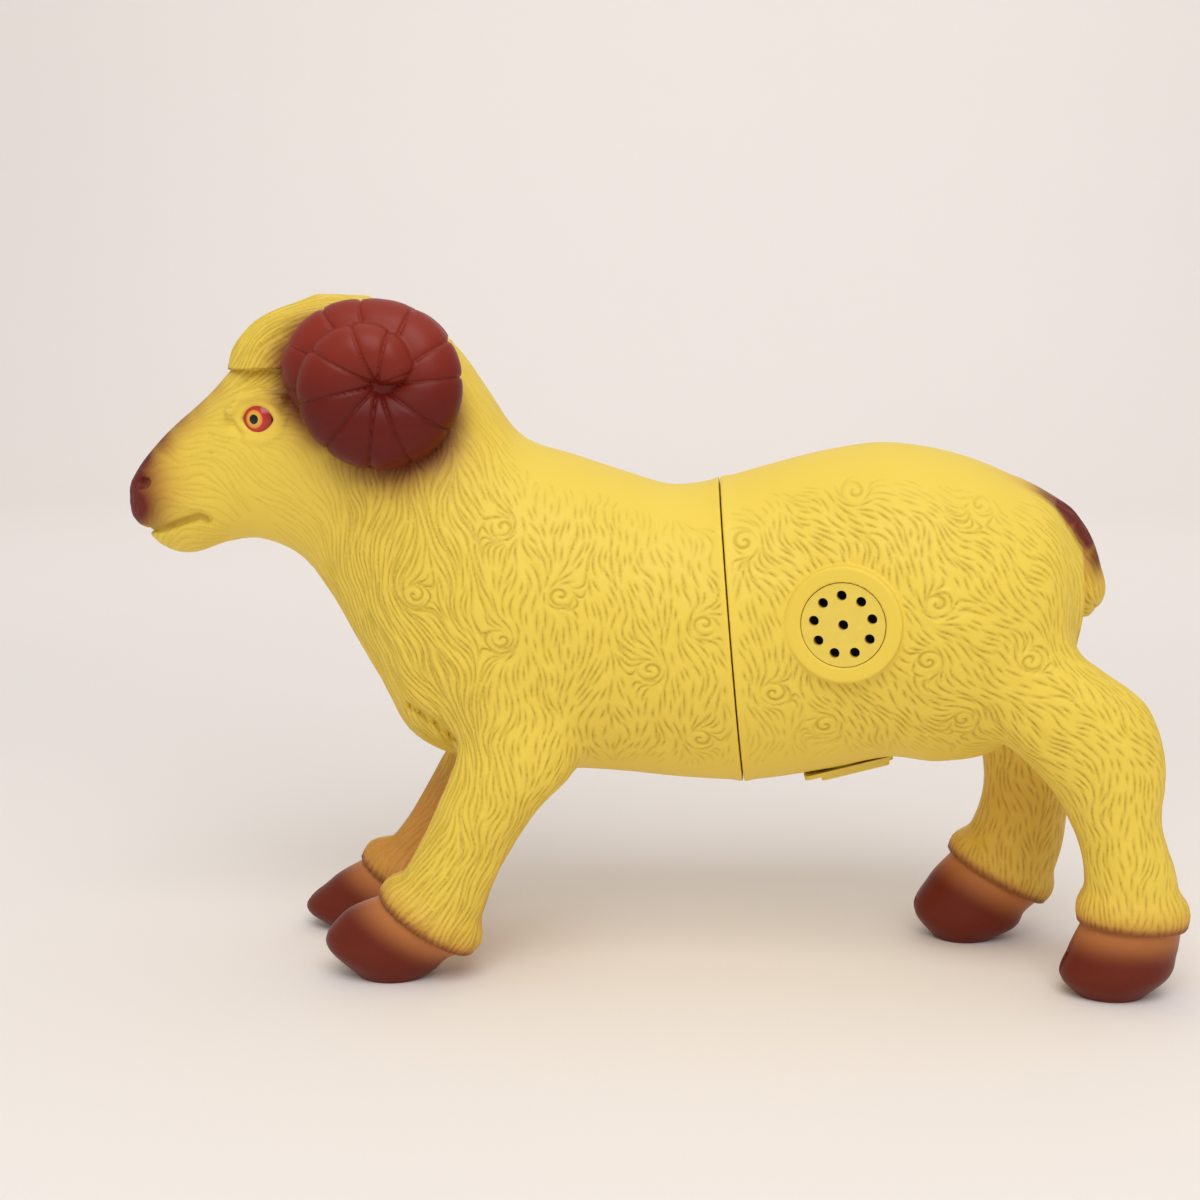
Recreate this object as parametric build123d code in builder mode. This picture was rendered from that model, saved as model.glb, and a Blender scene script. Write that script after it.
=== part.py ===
"""Sounding vinyl ram: two hollow body halves that twist at the waist, plug-in horns, eyes and hooves,
a sound capsule in the left flank and a battery tray under the belly.

Millimetres. The muzzle points to -X, the left side to -Y and +Z is up. The soles stand on Z = 0.
"""

import os
from math import cos, hypot, pi, radians, sin, sqrt

from build123d import *

# Vinyl skin
WALL = 3.0  # wall of both body halves
OVAL_FULLNESS = 0.56  # length of an oval's handles over its half axes

# Waist: a snap collar on the rear half turns in a round hole of the front half
SEAM_UPPER = (20.8, 148.5)  # upper end of the seam, as X and Z
SEAM_LOWER = (29.0, 57.0)
SEAM_HALF_WIDTH = 36.5
SEAM_GAP = 0.4  # open line between the halves
COLLAR_RADIUS = 26.0
COLLAR_WALL = 3.0
COLLAR_CLEARANCE = 0.1  # running fit of the collar in its hole
BEAD_HEIGHT = 1.5  # how far the snap bead stands out of the collar
BEAD_WIDTH = 2.5

# Oval sections from the waist to the muzzle: upper end, lower end and half width
FRONT_BODY = [
    ((15, 147.3), (21, 57.2), 36.3),
    ((5, 146.8), (8, 57.9), 36.3),
    ((-8, 150.5), (-4, 59), 37),
    ((-22, 155), (-16, 59.8), 38),
    ((-40, 162), (-49, 61), 37),
    ((-50, 176), (-71, 69), 34),
    ((-58, 187), (-84, 90), 30),
    ((-68, 195), (-97, 113), 26),
    ((-82, 199), (-106, 124), 23),
    ((-98, 198.5), (-117, 129), 20.5),
    ((-119, 187), (-128, 128.5), 17.5),
    ((-134, 172.5), (-141, 124.8), 13.5),
    ((-149, 159), (-150, 127.5), 11),
    ((-157.5, 147), (-156.5, 134), 6),
]
SOLID_NOSE_SECTIONS = 3  # the last sections have no hollow behind them

# Forelock, a cap of wool on the head, from its rim upwards: front end, back end and half width
FORELOCK = [
    ((-127.6, 180.5), (-72, 183), 21.5),
    ((-124.5, 189), (-70, 190), 19.5),
    ((-114, 197.6), (-75, 197.5), 15),
    ((-101, 202.4), (-84, 202.3), 7),
]

# Oval sections from the waist to the rump
REAR_BODY = [
    ((38, 153.5), (38, 58), 36.8),
    ((54, 157.5), (55, 61.2), 39),
    ((70, 159.5), (72, 65), 42),
    ((90, 156.5), (88, 64), 42.5),
    ((106, 150.5), (104, 68), 38.5),
    ((118, 144), (117, 80), 31),
    ((126, 134), (125.5, 97), 19),
]
SOLID_RUMP_SECTIONS = 1

# Tail, from the rump down: outer end, inner end and half width of its oval sections
TAIL = [
    ((108, 149), (96, 134), 8),
    ((126, 139), (112, 128), 10),
    ((133.5, 124.5), (119, 118), 10.5),
    ((134.6, 113.5), (122, 112), 8.5),
    ((131.5, 109), (126, 109), 4),
]

# Legs, from inside the body to the crease above the hoof: front end, back end, half width and side
LEGS = {
    "front_left": [
        ((-62, 98), (-14, 92), 15, -20),
        ((-55, 72), (-21, 64), 14.5, -22.5),
        ((-61.5, 54), (-32, 52), 13, -24),
        ((-68.5, 39), (-42, 36), 12.3, -24),
        ((-74.5, 29.5), (-48.5, 21), 12.8, -24),
        ((-79.5, 25.7), (-52.5, 7.8), 13.3, -24),
    ],
    "front_right": [
        ((-64, 98), (-16, 92), 15, 20),
        ((-60, 72), (-24, 64), 14.5, 22.5),
        ((-68.5, 54), (-38, 50), 13, 24),
        ((-77.5, 38.5), (-50, 33), 12.3, 24),
        ((-85.5, 28.5), (-58.5, 19), 12.8, 24),
        ((-93.5, 23.2), (-66, 6.8), 13.3, 24),
    ],
    "rear_left": [
        ((80, 112), (108, 117), 13, -20),
        ((90, 95), (124, 101), 15, -23),
        ((100, 79), (143, 87), 15, -25),
        ((117, 62), (149.8, 69), 13, -26),
        ((125.5, 47), (149.5, 52), 12, -26),
        ((128.2, 34), (154, 37), 12.6, -26),
        ((127, 22.5), (157.5, 21.5), 13.3, -26),
    ],
    "rear_right": [
        ((78, 112), (106, 117), 13, 20),
        ((86, 95), (120, 100), 15, 23),
        ((94, 79), (134, 85), 15, 25),
        ((103, 62), (136, 66), 13, 26),
        ((104.5, 48), (131, 49), 12, 26),
        ((100.5, 36), (129.5, 31), 12.6, 26),
        ((94.5, 28.5), (124, 12.5), 13.3, 26),
    ],
}

# Hooves, from the crease to the flat sole: front end, back end and half width
HOOVES = {
    "front_left": [
        ((-92, 18), (-60, 5.5), 12),
        ((-96.2, 10), (-63, 2.5), 11.5),
        ((-86, 0), (-67, 0), 8.5),
    ],
    "front_right": [
        ((-105, 14.5), (-74, 5), 12),
        ((-111.8, 5), (-78.5, 2), 11.5),
        ((-104, 0), (-82, 0), 8.5),
    ],
    "rear_left": [
        ((124, 13), (155.2, 13), 12.3),
        ((122, 5), (153, 6), 12),
        ((127, 0), (146, 0), 8.5),
    ],
    "rear_right": [
        ((88, 19), (118.5, 9), 12.3),
        ((83.8, 7.5), (115, 3.5), 12),
        ((90, 0), (108, 0), 8.5),
    ],
}
CREASE_STEP = 1.2  # how far the wool stands over the hoof at the crease
SOCKET_INSET = 5.0  # from the skin of the leg to the hoof's socket
HOOF_PEG_LENGTH = 6.0
HOOF_PEG_CLEARANCE = 0.1
CLEFT_WIDTH = 2.0
CLEFT_LENGTH = 13.0  # from the toe backwards
CLEFT_HEIGHT = 12.0

HEAD_TURN = 7.0  # degrees that the head looks to its left, which moves the right horn and eye forward

# Coiled horns, measured on the left one
HORN_CENTRE = (-75.5, 177.6)  # axis of the coil, as X and Z
HORN_SIDE = 22.5  # how far the coil's first turn lies from the middle of the head
HORN_RISE = 13.0  # how far one turn climbs outwards
HORN_COIL_RADIUS = 15.0  # from the coil's axis to the middle of the horn
HORN_ROOT_REACH = 3.5  # the root lies this much further out than the coil
HORN_TIP_REACH = 5.0  # from the coil's axis to the tip
HORN_TIP_RISE = 2.5  # how far the last half turn climbs
HORN_ROOT_RADIUS = 10.3
HORN_TIP_RADIUS = 4.0
HORN_SPANS = (-40, 150, 340, 530)  # degrees along the coil, from the root to the tip
HORN_SPAN_SECTIONS = 5
HORN_CORE_LAP = 4.8  # how far the core reaches into the coil
HORN_CORE_START = 3.0  # how far inside the first turn the core starts
HORN_PEG_RADIUS = 6.0
HORN_PEG_REACH = 12.0  # from the first turn into the head
HORN_PEG_CLEARANCE = 0.1
HORN_SEAT_GAP = 0.2  # between the horn and the skin of the head

# Domed plug-in eyes, measured on the left one
EYE_CENTRE = (-114.6, 18.6, 166.7)  # X, distance from the middle and Z
EYE_TURN = 12.0  # degrees that the eye looks forward
EYE_RADIUS = 4.4
EYE_DOME = 1.4
EYE_STEM = 4.5  # length behind the rim
EYE_CLEARANCE = 0.1

# Round boss on the left flank with the perforated face of the sound capsule
BOSS_CENTRE = (56.0, -40.8, 111.0)  # middle of the boss's flat face
BOSS_TURN = 12.0  # degrees that the boss faces forward
BOSS_RADIUS = 16.7
BOSS_DEPTH = 5.0  # from the flat face to the seat of the capsule
GRILLE_RADIUS = 11.95
GRILLE_CLEARANCE = 0.2
GRILLE_RECESS = 0.4
GRILLE_THICKNESS = 2.0
GRILLE_HOLE_RADIUS = 1.45
GRILLE_HOLE_CIRCLE = 8.4
GRILLE_HOLE_COUNT = 9
GRILLE_START = 94.0  # degrees from the rear to the first hole
GRILLE_NECK_WALL = 1.4

# Sound capsule behind the boss
CUP_RADIUS = 15.0
CUP_WALL = 1.2
CUP_SHOULDER = 2.0
CUP_DEPTH = 22.0  # from the seat on the boss to the cover
COVER_THICKNESS = 2.0
SLIP = 0.2  # clearance of what is dropped into the cup
EAR_RADIUS = 3.2
EAR_LENGTH = 9.0
EAR_COUNT = 2
SCREW_RADIUS = 1.0
SCREW_HOLE_CLEARANCE = 0.1
SCREW_HEAD_RADIUS = 2.2
SCREW_HEAD_HEIGHT = 1.6
CAPSULE_SCREW_LENGTH = 7.0
SCREW_SLOT_WIDTH = 0.6

# Speaker
GASKET_THICKNESS = 1.0
GASKET_WIDTH = 1.1
FRAME_SHEET = 0.7
FRAME_DEPTH = 5.0
FRAME_STRAIGHT = 1.6  # straight part of the basket below its rim
FRAME_FOOT = 0.5  # how far the basket's foot stands outside the magnet
MAGNET_RADIUS = 7.0
MAGNET_THICKNESS = 3.0
YOKE_THICKNESS = 1.2
POLE_RADIUS = 3.2
COIL_RADIUS = 4.0  # middle of the voice coil
COIL_WALL = 0.4
COIL_LENGTH = 2.4
COIL_GAP = 0.3  # on each side of the coil
CONE_SHEET = 0.4
CONE_DEPTH = 2.8
WINDING_GAP = 0.02  # between the former and the coil
CONE_TRAVEL = 0.5  # each way from rest
CONE_RIM_GAP = 0.3
SPEAKER_LEAD_RADIUS = 0.4
SPEAKER_LEAD_TURN = 9.0  # degrees from the top of the speaker to each lead
SPEAKER_LEAD_COUNT = 2

# Circuit board and what it carries
SPACER_WALL = 1.0
BOARD_LEVEL = 15.0  # from the seat on the boss to the front of the board
BOARD_THICKNESS = 1.0
CHIP_TURN = 144.0  # degrees round the board
CHIP_GAP = 1.8  # from the cover's rim
CHIP_RADIUS = 4.0
CHIP_HEIGHT = 1.8
CAPACITOR_TURN = 209.0
CAPACITOR_GAP = 1.4
CAPACITOR_RADIUS = 2.0
CAPACITOR_HEIGHT = 4.5
TILT_CAN_GAP = 2.0  # from the cover's rim to the can's nearest corner
TILT_CAN_RADIUS = 2.5
TILT_CAN_LENGTH = 11.0
TILT_CAN_WALL = 0.4
TILT_BALL_RADIUS = 1.7
TILT_BALL_GAP = 0.1  # between the resting ball and the end of the can
TILT_CAP_DEPTH = 1.0
SOLDER_GAP = 0.1

# Battery tray, frame and door under the belly
TRAY_CENTRE = (62.0, 62.2)  # middle of the frame's outer face, as X and Z
TRAY_TILT = 15.0  # degrees that the belly rises towards the rear
CELL_RADIUS = 5.8
CELL_HEIGHT = 5.4
CELL_COUNT = 3
CELL_GAP = 0.05
CELL_CLEARANCE = 0.3
TRAY_WALL = 1.2
TRAY_FIT = 0.2  # clearance of the tray in the window of the belly
FRAME_THICKNESS = 1.2
FRAME_FRONT_MARGIN = 5.5
FRAME_MARGIN = 2.0
FRAME_CORNER = 2.0
BELLY_PAD_DEPTH = 4.0
DOOR_THICKNESS = 1.5
DOOR_LAP = 0.6  # how far the door covers the tray's outer wall
DOOR_CORNER = 1.5
DOOR_SPIGOT_DEPTH = 1.2
DOOR_SPIGOT_CLEARANCE = 0.2
CONTACT_SHEET = 0.4
CONTACT_WIDTH = 4.0
CONTACT_TAB = 2.5  # length above the tray
LEAF_SPACE = 2.2
LEAF_OFFSET = 2.0  # from the middle of the well to the leaf's tab
LEAF_REACH = 4.0
POST_RADIUS = 2.9
POST_LAP = 0.8  # how far the screw post runs into the wall of the well
DOOR_SCREW_LENGTH = 8.0
DOOR_SCREW_HEAD = 0.9
LEAD_RADIUS = 0.6
LEAD_SPREAD = 1.5  # from the middle to each battery lead
LEAD_HOLE_RADIUS = 2.6
LEAD_LEVEL = 7.0  # how far the leads pass below the middle of the board
LEAD_STAND = 14.0  # from the cover to the corner of the leads' route
LEAD_BEND_RADIUS = 10.0


def oval_plane(upper, lower, side=0.0):
    """Plane of an oval section: local Y from the lower to the upper end, local X along the body's Y."""
    rise = Vector(upper[0] - lower[0], 0, upper[1] - lower[1])
    middle = Vector((upper[0] + lower[0]) / 2, side, (upper[1] + lower[1]) / 2)
    return Plane(origin=middle, x_dir=(0, 1, 0), z_dir=Vector(0, 1, 0).cross(rise))


def oval(plane, half_width, half_height):
    """Oval face made of four curved quarters."""
    corners = [(half_width, 0), (0, half_height), (-half_width, 0), (0, -half_height)]
    with BuildSketch(plane) as sketch:
        with BuildLine():
            for start, end in zip(corners, corners[1:] + corners[:1]):
                leave = Vector(*start) + Vector(*end) * OVAL_FULLNESS
                arrive = Vector(*end) + Vector(*start) * OVAL_FULLNESS
                Bezier(start, leave, arrive, end)
        make_face()
    return sketch.sketch


def section(upper, lower, half_width, side=0.0, growth=0.0):
    """Oval section between two ends, made larger all round by the growth."""
    half_height = hypot(upper[0] - lower[0], upper[1] - lower[1]) / 2
    return oval(oval_plane(upper, lower, side), half_width + growth, half_height + growth)


def form(stations, growth=0.0):
    """Smooth solid through oval sections."""
    with BuildPart() as solid:
        loft(sections=[section(*station, growth=growth) for station in stations])
    return solid.part


def save(piece, name):
    """Labels a finished piece and writes its file."""
    piece.part.label = name
    export_step(piece.part, f"parts/{name}.step")


def mirrored(piece):
    """Copy of a piece on the other side of the body."""
    with BuildPart() as copy:
        mirror(piece.part, about=Plane.XZ)
    return copy


os.makedirs("parts", exist_ok=True)

# Waist plane: its local Z points to the rear
seam_plane = oval_plane(SEAM_UPPER, SEAM_LOWER)
seam_station = (SEAM_UPPER, SEAM_LOWER, SEAM_HALF_WIDTH)
front_face = seam_plane.offset(-SEAM_GAP)
front_inner_face = front_face.offset(-WALL)
rear_inner_face = seam_plane.offset(WALL)
collar_end = SEAM_GAP + WALL + SEAM_GAP + BEAD_WIDTH

# Planes of the boss and the belly frame: local Z points out of the body
boss_plane = Plane(
    origin=BOSS_CENTRE,
    x_dir=(cos(radians(BOSS_TURN)), -sin(radians(BOSS_TURN)), 0),
    z_dir=(-sin(radians(BOSS_TURN)), -cos(radians(BOSS_TURN)), 0),
)
boss_axis = Axis(boss_plane.origin, boss_plane.z_dir)
boss_section = Plane(origin=boss_plane.origin, x_dir=boss_plane.x_dir, z_dir=-boss_plane.y_dir)
tray_plane = Plane(
    origin=(TRAY_CENTRE[0], 0, TRAY_CENTRE[1]),
    x_dir=(cos(radians(TRAY_TILT)), 0, sin(radians(TRAY_TILT))),
    z_dir=(sin(radians(TRAY_TILT)), 0, -cos(radians(TRAY_TILT))),
)

# Places along the belly frame, in the tray's plane
well_radius = CELL_RADIUS + CELL_CLEARANCE
post_place = well_radius + TRAY_WALL + POST_RADIUS - POST_LAP
tray_front = -well_radius - TRAY_WALL
tray_rear = post_place + POST_RADIUS
tray_shift = -(tray_front + tray_rear) / 2
tray_length = tray_rear - tray_front
tray_width = 2 * (well_radius + TRAY_WALL)
frame_length = tray_length + FRAME_FRONT_MARGIN + FRAME_MARGIN
frame_width = tray_width + 2 * FRAME_MARGIN
frame_shift = (FRAME_MARGIN - FRAME_FRONT_MARGIN) / 2
well_spot = (tray_shift, 0)
post_spot = (tray_shift + post_place, 0)
cell_stack = CELL_COUNT * (CELL_HEIGHT + CELL_GAP)
cell_floor = DOOR_SPIGOT_DEPTH + CONTACT_SHEET + SLIP
well_depth = cell_floor + cell_stack + LEAF_SPACE
tray_depth = well_depth + TRAY_WALL
leaf_place = well_spot[0] + LEAF_OFFSET
strip_place = well_spot[0] - well_radius - SOLDER_GAP
tray_section = Plane(origin=tray_plane.origin, x_dir=tray_plane.x_dir, z_dir=-tray_plane.y_dir)


def leg_socket(leg, growth):
    """Oval at the lower end of a leg, where the hoof's peg goes in."""
    return section(*LEGS[leg][-1], growth=growth - SOCKET_INSET)


def cut_leg_hollow(leg):
    """Takes the hollow of a leg and the socket of its hoof out of the part being built."""
    add(form(LEGS[leg][:-1], -WALL), mode=Mode.SUBTRACT)
    extrude(leg_socket(leg, 0), amount=HOOF_PEG_LENGTH + SLIP, mode=Mode.SUBTRACT)


# Horns: round sections along a coil that climbs outwards, on the left side of the head
def horn_section(angle, forward):
    """Round section of a horn at an angle along its coil, in degrees, with the coil moved forward."""
    last_half_turn = max(0.0, (angle - 360) / (HORN_SPANS[-1] - 360))
    reach = HORN_COIL_RADIUS + HORN_ROOT_REACH * max(0.0, 1 - angle / 90)
    reach -= (HORN_COIL_RADIUS - HORN_TIP_REACH) * last_half_turn
    side = HORN_SIDE + HORN_RISE * min(angle, 360) / 360 + HORN_TIP_RISE * last_half_turn
    thinning = (max(angle, 0) / HORN_SPANS[-1]) ** 2
    radius = HORN_ROOT_RADIUS + (HORN_TIP_RADIUS - HORN_ROOT_RADIUS) * thinning
    across = radians(angle)
    place = (HORN_CENTRE[0] - forward - reach * cos(across), -side, HORN_CENTRE[1] + reach * sin(across))
    return oval(Plane(origin=place, x_dir=(0, 1, 0), z_dir=(sin(across), 0, cos(across))), radius, radius)


def horn_cylinder(radius, start, end, forward):
    """Cylinder on the axis of a horn's coil between two distances from the middle of the head."""
    base = Plane(origin=(HORN_CENTRE[0] - forward, -start, HORN_CENTRE[1]), z_dir=(0, -1, 0))
    with BuildPart() as cylinder:
        with BuildSketch(base):
            Circle(radius)
        extrude(amount=end - start)
    return cylinder.part


horn_peg_end = HORN_SIDE - HORN_PEG_REACH
horn_core_radius = HORN_COIL_RADIUS - HORN_ROOT_RADIUS + HORN_CORE_LAP
horn_core_start = HORN_SIDE - HORN_CORE_START
horn_stagger = (2 * HORN_SIDE + HORN_RISE) * sin(radians(HEAD_TURN))


def make_horn(forward):
    """Left-handed horn with a peg, moved forward along the head."""
    with BuildPart() as horn:
        for first, last in zip(HORN_SPANS, HORN_SPANS[1:]):
            step = (last - first) / (HORN_SPAN_SECTIONS - 1)
            angles = [first + step * index for index in range(HORN_SPAN_SECTIONS)]
            loft(sections=[horn_section(angle, forward) for angle in angles])
        add(horn_cylinder(horn_core_radius, horn_core_start, horn_core_start + HORN_RISE, forward))
        add(form([seam_station] + FRONT_BODY, HORN_SEAT_GAP), mode=Mode.SUBTRACT)
        add(form(FORELOCK, HORN_SEAT_GAP), mode=Mode.SUBTRACT)
        add(horn_cylinder(HORN_PEG_RADIUS, horn_peg_end, HORN_SIDE, forward))
    return horn


save(make_horn(0), "left_horn")
save(mirrored(make_horn(horn_stagger)), "right_horn")

# Eyes: plugs with a domed face, on the left side of the head
eye_ball_radius = (EYE_RADIUS**2 + EYE_DOME**2) / (2 * EYE_DOME)
eye_stagger = 2 * EYE_CENTRE[1] * sin(radians(HEAD_TURN))


def eye_plane(forward):
    """Plane of an eye's rim, moved forward along the head. Its local Z points out of the head."""
    along = Vector(cos(radians(EYE_TURN)), -sin(radians(EYE_TURN)), 0)
    origin = Vector(EYE_CENTRE[0], -EYE_CENTRE[1], EYE_CENTRE[2]) - along * forward
    return Plane(origin=origin, x_dir=along, z_dir=Vector(along.Y, -along.X, 0))


def make_eye(forward):
    """Eye moved forward along the head."""
    with BuildPart() as eye:
        with BuildSketch(eye_plane(forward).offset(EYE_DOME)):
            Circle(EYE_RADIUS)
        extrude(amount=-EYE_DOME - EYE_STEM)
        with Locations(eye_plane(forward).offset(EYE_DOME - eye_ball_radius)):
            Sphere(eye_ball_radius, mode=Mode.INTERSECT)
    return eye


save(make_eye(0), "left_eye")
save(mirrored(make_eye(eye_stagger)), "right_eye")


def make_sockets(horn_forward, eye_forward):
    """Hollows that a horn and an eye need in the left side of the head."""
    with BuildPart() as sockets:
        add(horn_cylinder(HORN_PEG_RADIUS + HORN_PEG_CLEARANCE, horn_peg_end, HORN_SIDE, horn_forward))
        with BuildSketch(eye_plane(eye_forward).offset(EYE_DOME)):
            Circle(EYE_RADIUS + EYE_CLEARANCE)
        extrude(amount=-EYE_DOME - EYE_STEM)
    return sockets


# Front half of the body: neck, head and front legs, with a round hole in its end wall
with BuildPart() as front_cavity:
    add(form([seam_station] + FRONT_BODY[:-SOLID_NOSE_SECTIONS], -WALL))
    split(bisect_by=front_inner_face, keep=Keep.BOTTOM)

with BuildPart() as front_shell:
    add(form([seam_station] + FRONT_BODY))
    add(form(FORELOCK))
    for leg in ("front_left", "front_right"):
        add(form(LEGS[leg]))
    split(bisect_by=front_face, keep=Keep.BOTTOM)
    add(front_cavity.part, mode=Mode.SUBTRACT)
    for leg in ("front_left", "front_right"):
        cut_leg_hollow(leg)
    with BuildSketch(seam_plane):
        Circle(COLLAR_RADIUS + COLLAR_CLEARANCE)
    extrude(amount=-collar_end, mode=Mode.SUBTRACT)
    add(make_sockets(0, 0).part, mode=Mode.SUBTRACT)
    add(mirrored(make_sockets(horn_stagger, eye_stagger)).part, mode=Mode.SUBTRACT)
save(front_shell, "front_shell")

# Rear half of the body: rear legs, tail, snap collar, boss and belly pad
with BuildPart() as rear_cavity:
    add(form([seam_station] + REAR_BODY[:-SOLID_RUMP_SECTIONS], -WALL))
    split(bisect_by=rear_inner_face, keep=Keep.TOP)

with BuildPart() as rear_shell:
    add(form([seam_station] + REAR_BODY))
    add(form(TAIL))
    for leg in ("rear_left", "rear_right"):
        add(form(LEGS[leg]))
    add(rear_cavity.part, mode=Mode.SUBTRACT)
    for leg in ("rear_left", "rear_right"):
        cut_leg_hollow(leg)
    with BuildSketch(rear_inner_face):
        Circle(COLLAR_RADIUS)
    extrude(amount=-WALL - collar_end)
    with BuildSketch(seam_plane.offset(-collar_end)):
        Circle(COLLAR_RADIUS + BEAD_HEIGHT)
    extrude(amount=BEAD_WIDTH)
    with BuildSketch(rear_inner_face):
        Circle(COLLAR_RADIUS - COLLAR_WALL)
    extrude(amount=-WALL - collar_end, mode=Mode.SUBTRACT)
    with BuildSketch(boss_plane):
        Circle(BOSS_RADIUS)
    extrude(amount=-BOSS_DEPTH)
    with BuildSketch(boss_plane):
        Circle(GRILLE_RADIUS + GRILLE_CLEARANCE)
    extrude(amount=-BOSS_DEPTH, mode=Mode.SUBTRACT)
    with BuildSketch(boss_plane.offset(-BOSS_DEPTH)):
        Circle(CUP_RADIUS + SLIP)
    extrude(amount=-BOSS_DEPTH, mode=Mode.SUBTRACT)
    with BuildSketch(tray_plane.offset(-FRAME_THICKNESS)) as belly_pad:
        with Locations((frame_shift, 0)):
            RectangleRounded(frame_length, frame_width, FRAME_CORNER)
    extrude(amount=-BELLY_PAD_DEPTH)
    extrude(belly_pad.sketch, amount=BELLY_PAD_DEPTH, mode=Mode.SUBTRACT)
    with BuildSketch(tray_plane):
        with Locations(well_spot):
            Circle(well_radius + TRAY_WALL + TRAY_FIT)
        with Locations(post_spot):
            Circle(POST_RADIUS + TRAY_FIT)
    extrude(amount=-FRAME_THICKNESS - 2 * BELLY_PAD_DEPTH, mode=Mode.SUBTRACT)
save(rear_shell, "rear_shell")

# Cloven hooves, each with a peg that plugs into its leg
for leg, hoof_stations in HOOVES.items():
    leg_end = LEGS[leg][-1]
    side = leg_end[3]
    toe = min(station[0][0] for station in hoof_stations)
    with BuildPart() as hoof:
        rings = [section(*leg_end, growth=-CREASE_STEP)]
        rings += [section(*station, side) for station in hoof_stations]
        loft(sections=rings)
        with Locations((toe, side, 0)):
            Box(2 * CLEFT_LENGTH, CLEFT_WIDTH, 2 * CLEFT_HEIGHT, mode=Mode.SUBTRACT)
        extrude(leg_socket(leg, -HOOF_PEG_CLEARANCE), amount=HOOF_PEG_LENGTH)
    save(hoof, f"{leg}_hoof")


# Pieces turned about the axis of the boss: each profile is a list of radius and level
def turned(profile):
    """Round piece about the axis of the boss."""
    with BuildPart() as piece:
        with BuildSketch(boss_section):
            with BuildLine():
                Polyline(*profile, close=True)
            make_face()
        revolve(axis=boss_axis)
    return piece


def ring(outer, inner, top, bottom):
    """Profile of a plain ring."""
    return [(outer, top), (outer, bottom), (inner, bottom), (inner, top)]


# Levels along the axis of the boss, outwards from its flat face
seat = -BOSS_DEPTH
grille_back = -GRILLE_RECESS - GRILLE_THICKNESS
shoulder_back = seat - CUP_SHOULDER
cup_end = seat - CUP_DEPTH
cover_back = cup_end - COVER_THICKNESS
frame_front = shoulder_back - GASKET_THICKNESS
frame_back = frame_front - FRAME_DEPTH - FRAME_SHEET
magnet_back = frame_back - MAGNET_THICKNESS
board_front = seat - BOARD_LEVEL
board_back = board_front - BOARD_THICKNESS

# Radii inside the capsule
cup_inner = CUP_RADIUS - CUP_WALL
drop_in = cup_inner - SLIP
neck_inner = GRILLE_RADIUS - GRILLE_NECK_WALL
rim_inner = drop_in - SPACER_WALL
ear_place = CUP_RADIUS + EAR_RADIUS - CUP_WALL / 2
screw_hole = SCREW_RADIUS + SCREW_HOLE_CLEARANCE

# Sound capsule: perforated face, neck and cup in one piece, with two screw ears
with BuildPart() as sound_capsule:
    with BuildSketch(boss_section):
        with BuildLine():
            Polyline(
                (0, -GRILLE_RECESS),
                (GRILLE_RADIUS, -GRILLE_RECESS),
                (GRILLE_RADIUS, seat),
                (CUP_RADIUS, seat),
                (CUP_RADIUS, cup_end),
                (cup_inner, cup_end),
                (cup_inner, shoulder_back),
                (neck_inner, shoulder_back),
                (neck_inner, grille_back),
                (0, grille_back),
                close=True,
            )
        make_face()
    revolve(axis=boss_axis)
    with BuildSketch(boss_plane):
        Circle(GRILLE_HOLE_RADIUS)
        with PolarLocations(GRILLE_HOLE_CIRCLE, GRILLE_HOLE_COUNT, start_angle=GRILLE_START):
            Circle(GRILLE_HOLE_RADIUS)
    extrude(amount=grille_back, mode=Mode.SUBTRACT)
    with BuildSketch(boss_plane.offset(cup_end)):
        with PolarLocations(ear_place, EAR_COUNT):
            Circle(EAR_RADIUS)
        Circle(cup_inner, mode=Mode.SUBTRACT)
    extrude(amount=EAR_LENGTH)
    with BuildSketch(boss_plane.offset(cup_end)):
        with PolarLocations(ear_place, EAR_COUNT):
            Circle(screw_hole)
    extrude(amount=CAPSULE_SCREW_LENGTH, mode=Mode.SUBTRACT)
save(sound_capsule, "sound_capsule")

# Cover of the capsule: its rim holds the board, and the battery leads pass through its hole
with BuildPart() as capsule_cover:
    with BuildSketch(boss_plane.offset(cup_end)):
        Circle(CUP_RADIUS)
        with PolarLocations(ear_place, EAR_COUNT):
            Circle(EAR_RADIUS)
        with PolarLocations(ear_place, EAR_COUNT):
            Circle(screw_hole, mode=Mode.SUBTRACT)
    extrude(amount=-COVER_THICKNESS)
    with BuildSketch(boss_plane.offset(cup_end)):
        Circle(drop_in)
        Circle(rim_inner, mode=Mode.SUBTRACT)
    extrude(amount=board_back - cup_end)
    with BuildSketch(boss_plane.offset(cup_end)):
        with Locations((0, -LEAD_LEVEL)):
            Circle(LEAD_HOLE_RADIUS)
    extrude(amount=-COVER_THICKNESS, mode=Mode.SUBTRACT)
save(capsule_cover, "capsule_cover")


def screw(plane, places, head_height, length):
    """Pan head screws at places on a plane, with their shanks against the plane's normal."""
    with BuildPart() as screws:
        with BuildSketch(plane):
            with Locations(*places):
                Circle(SCREW_HEAD_RADIUS)
        extrude(amount=head_height)
        with BuildSketch(plane.offset(head_height)):
            with Locations(*places):
                Rectangle(SCREW_HEAD_RADIUS, SCREW_SLOT_WIDTH)
                Rectangle(SCREW_SLOT_WIDTH, SCREW_HEAD_RADIUS)
        extrude(amount=-head_height / 2, mode=Mode.SUBTRACT)
        with BuildSketch(plane):
            with Locations(*places):
                Circle(SCREW_RADIUS)
        extrude(amount=-length)
    return screws


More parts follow.
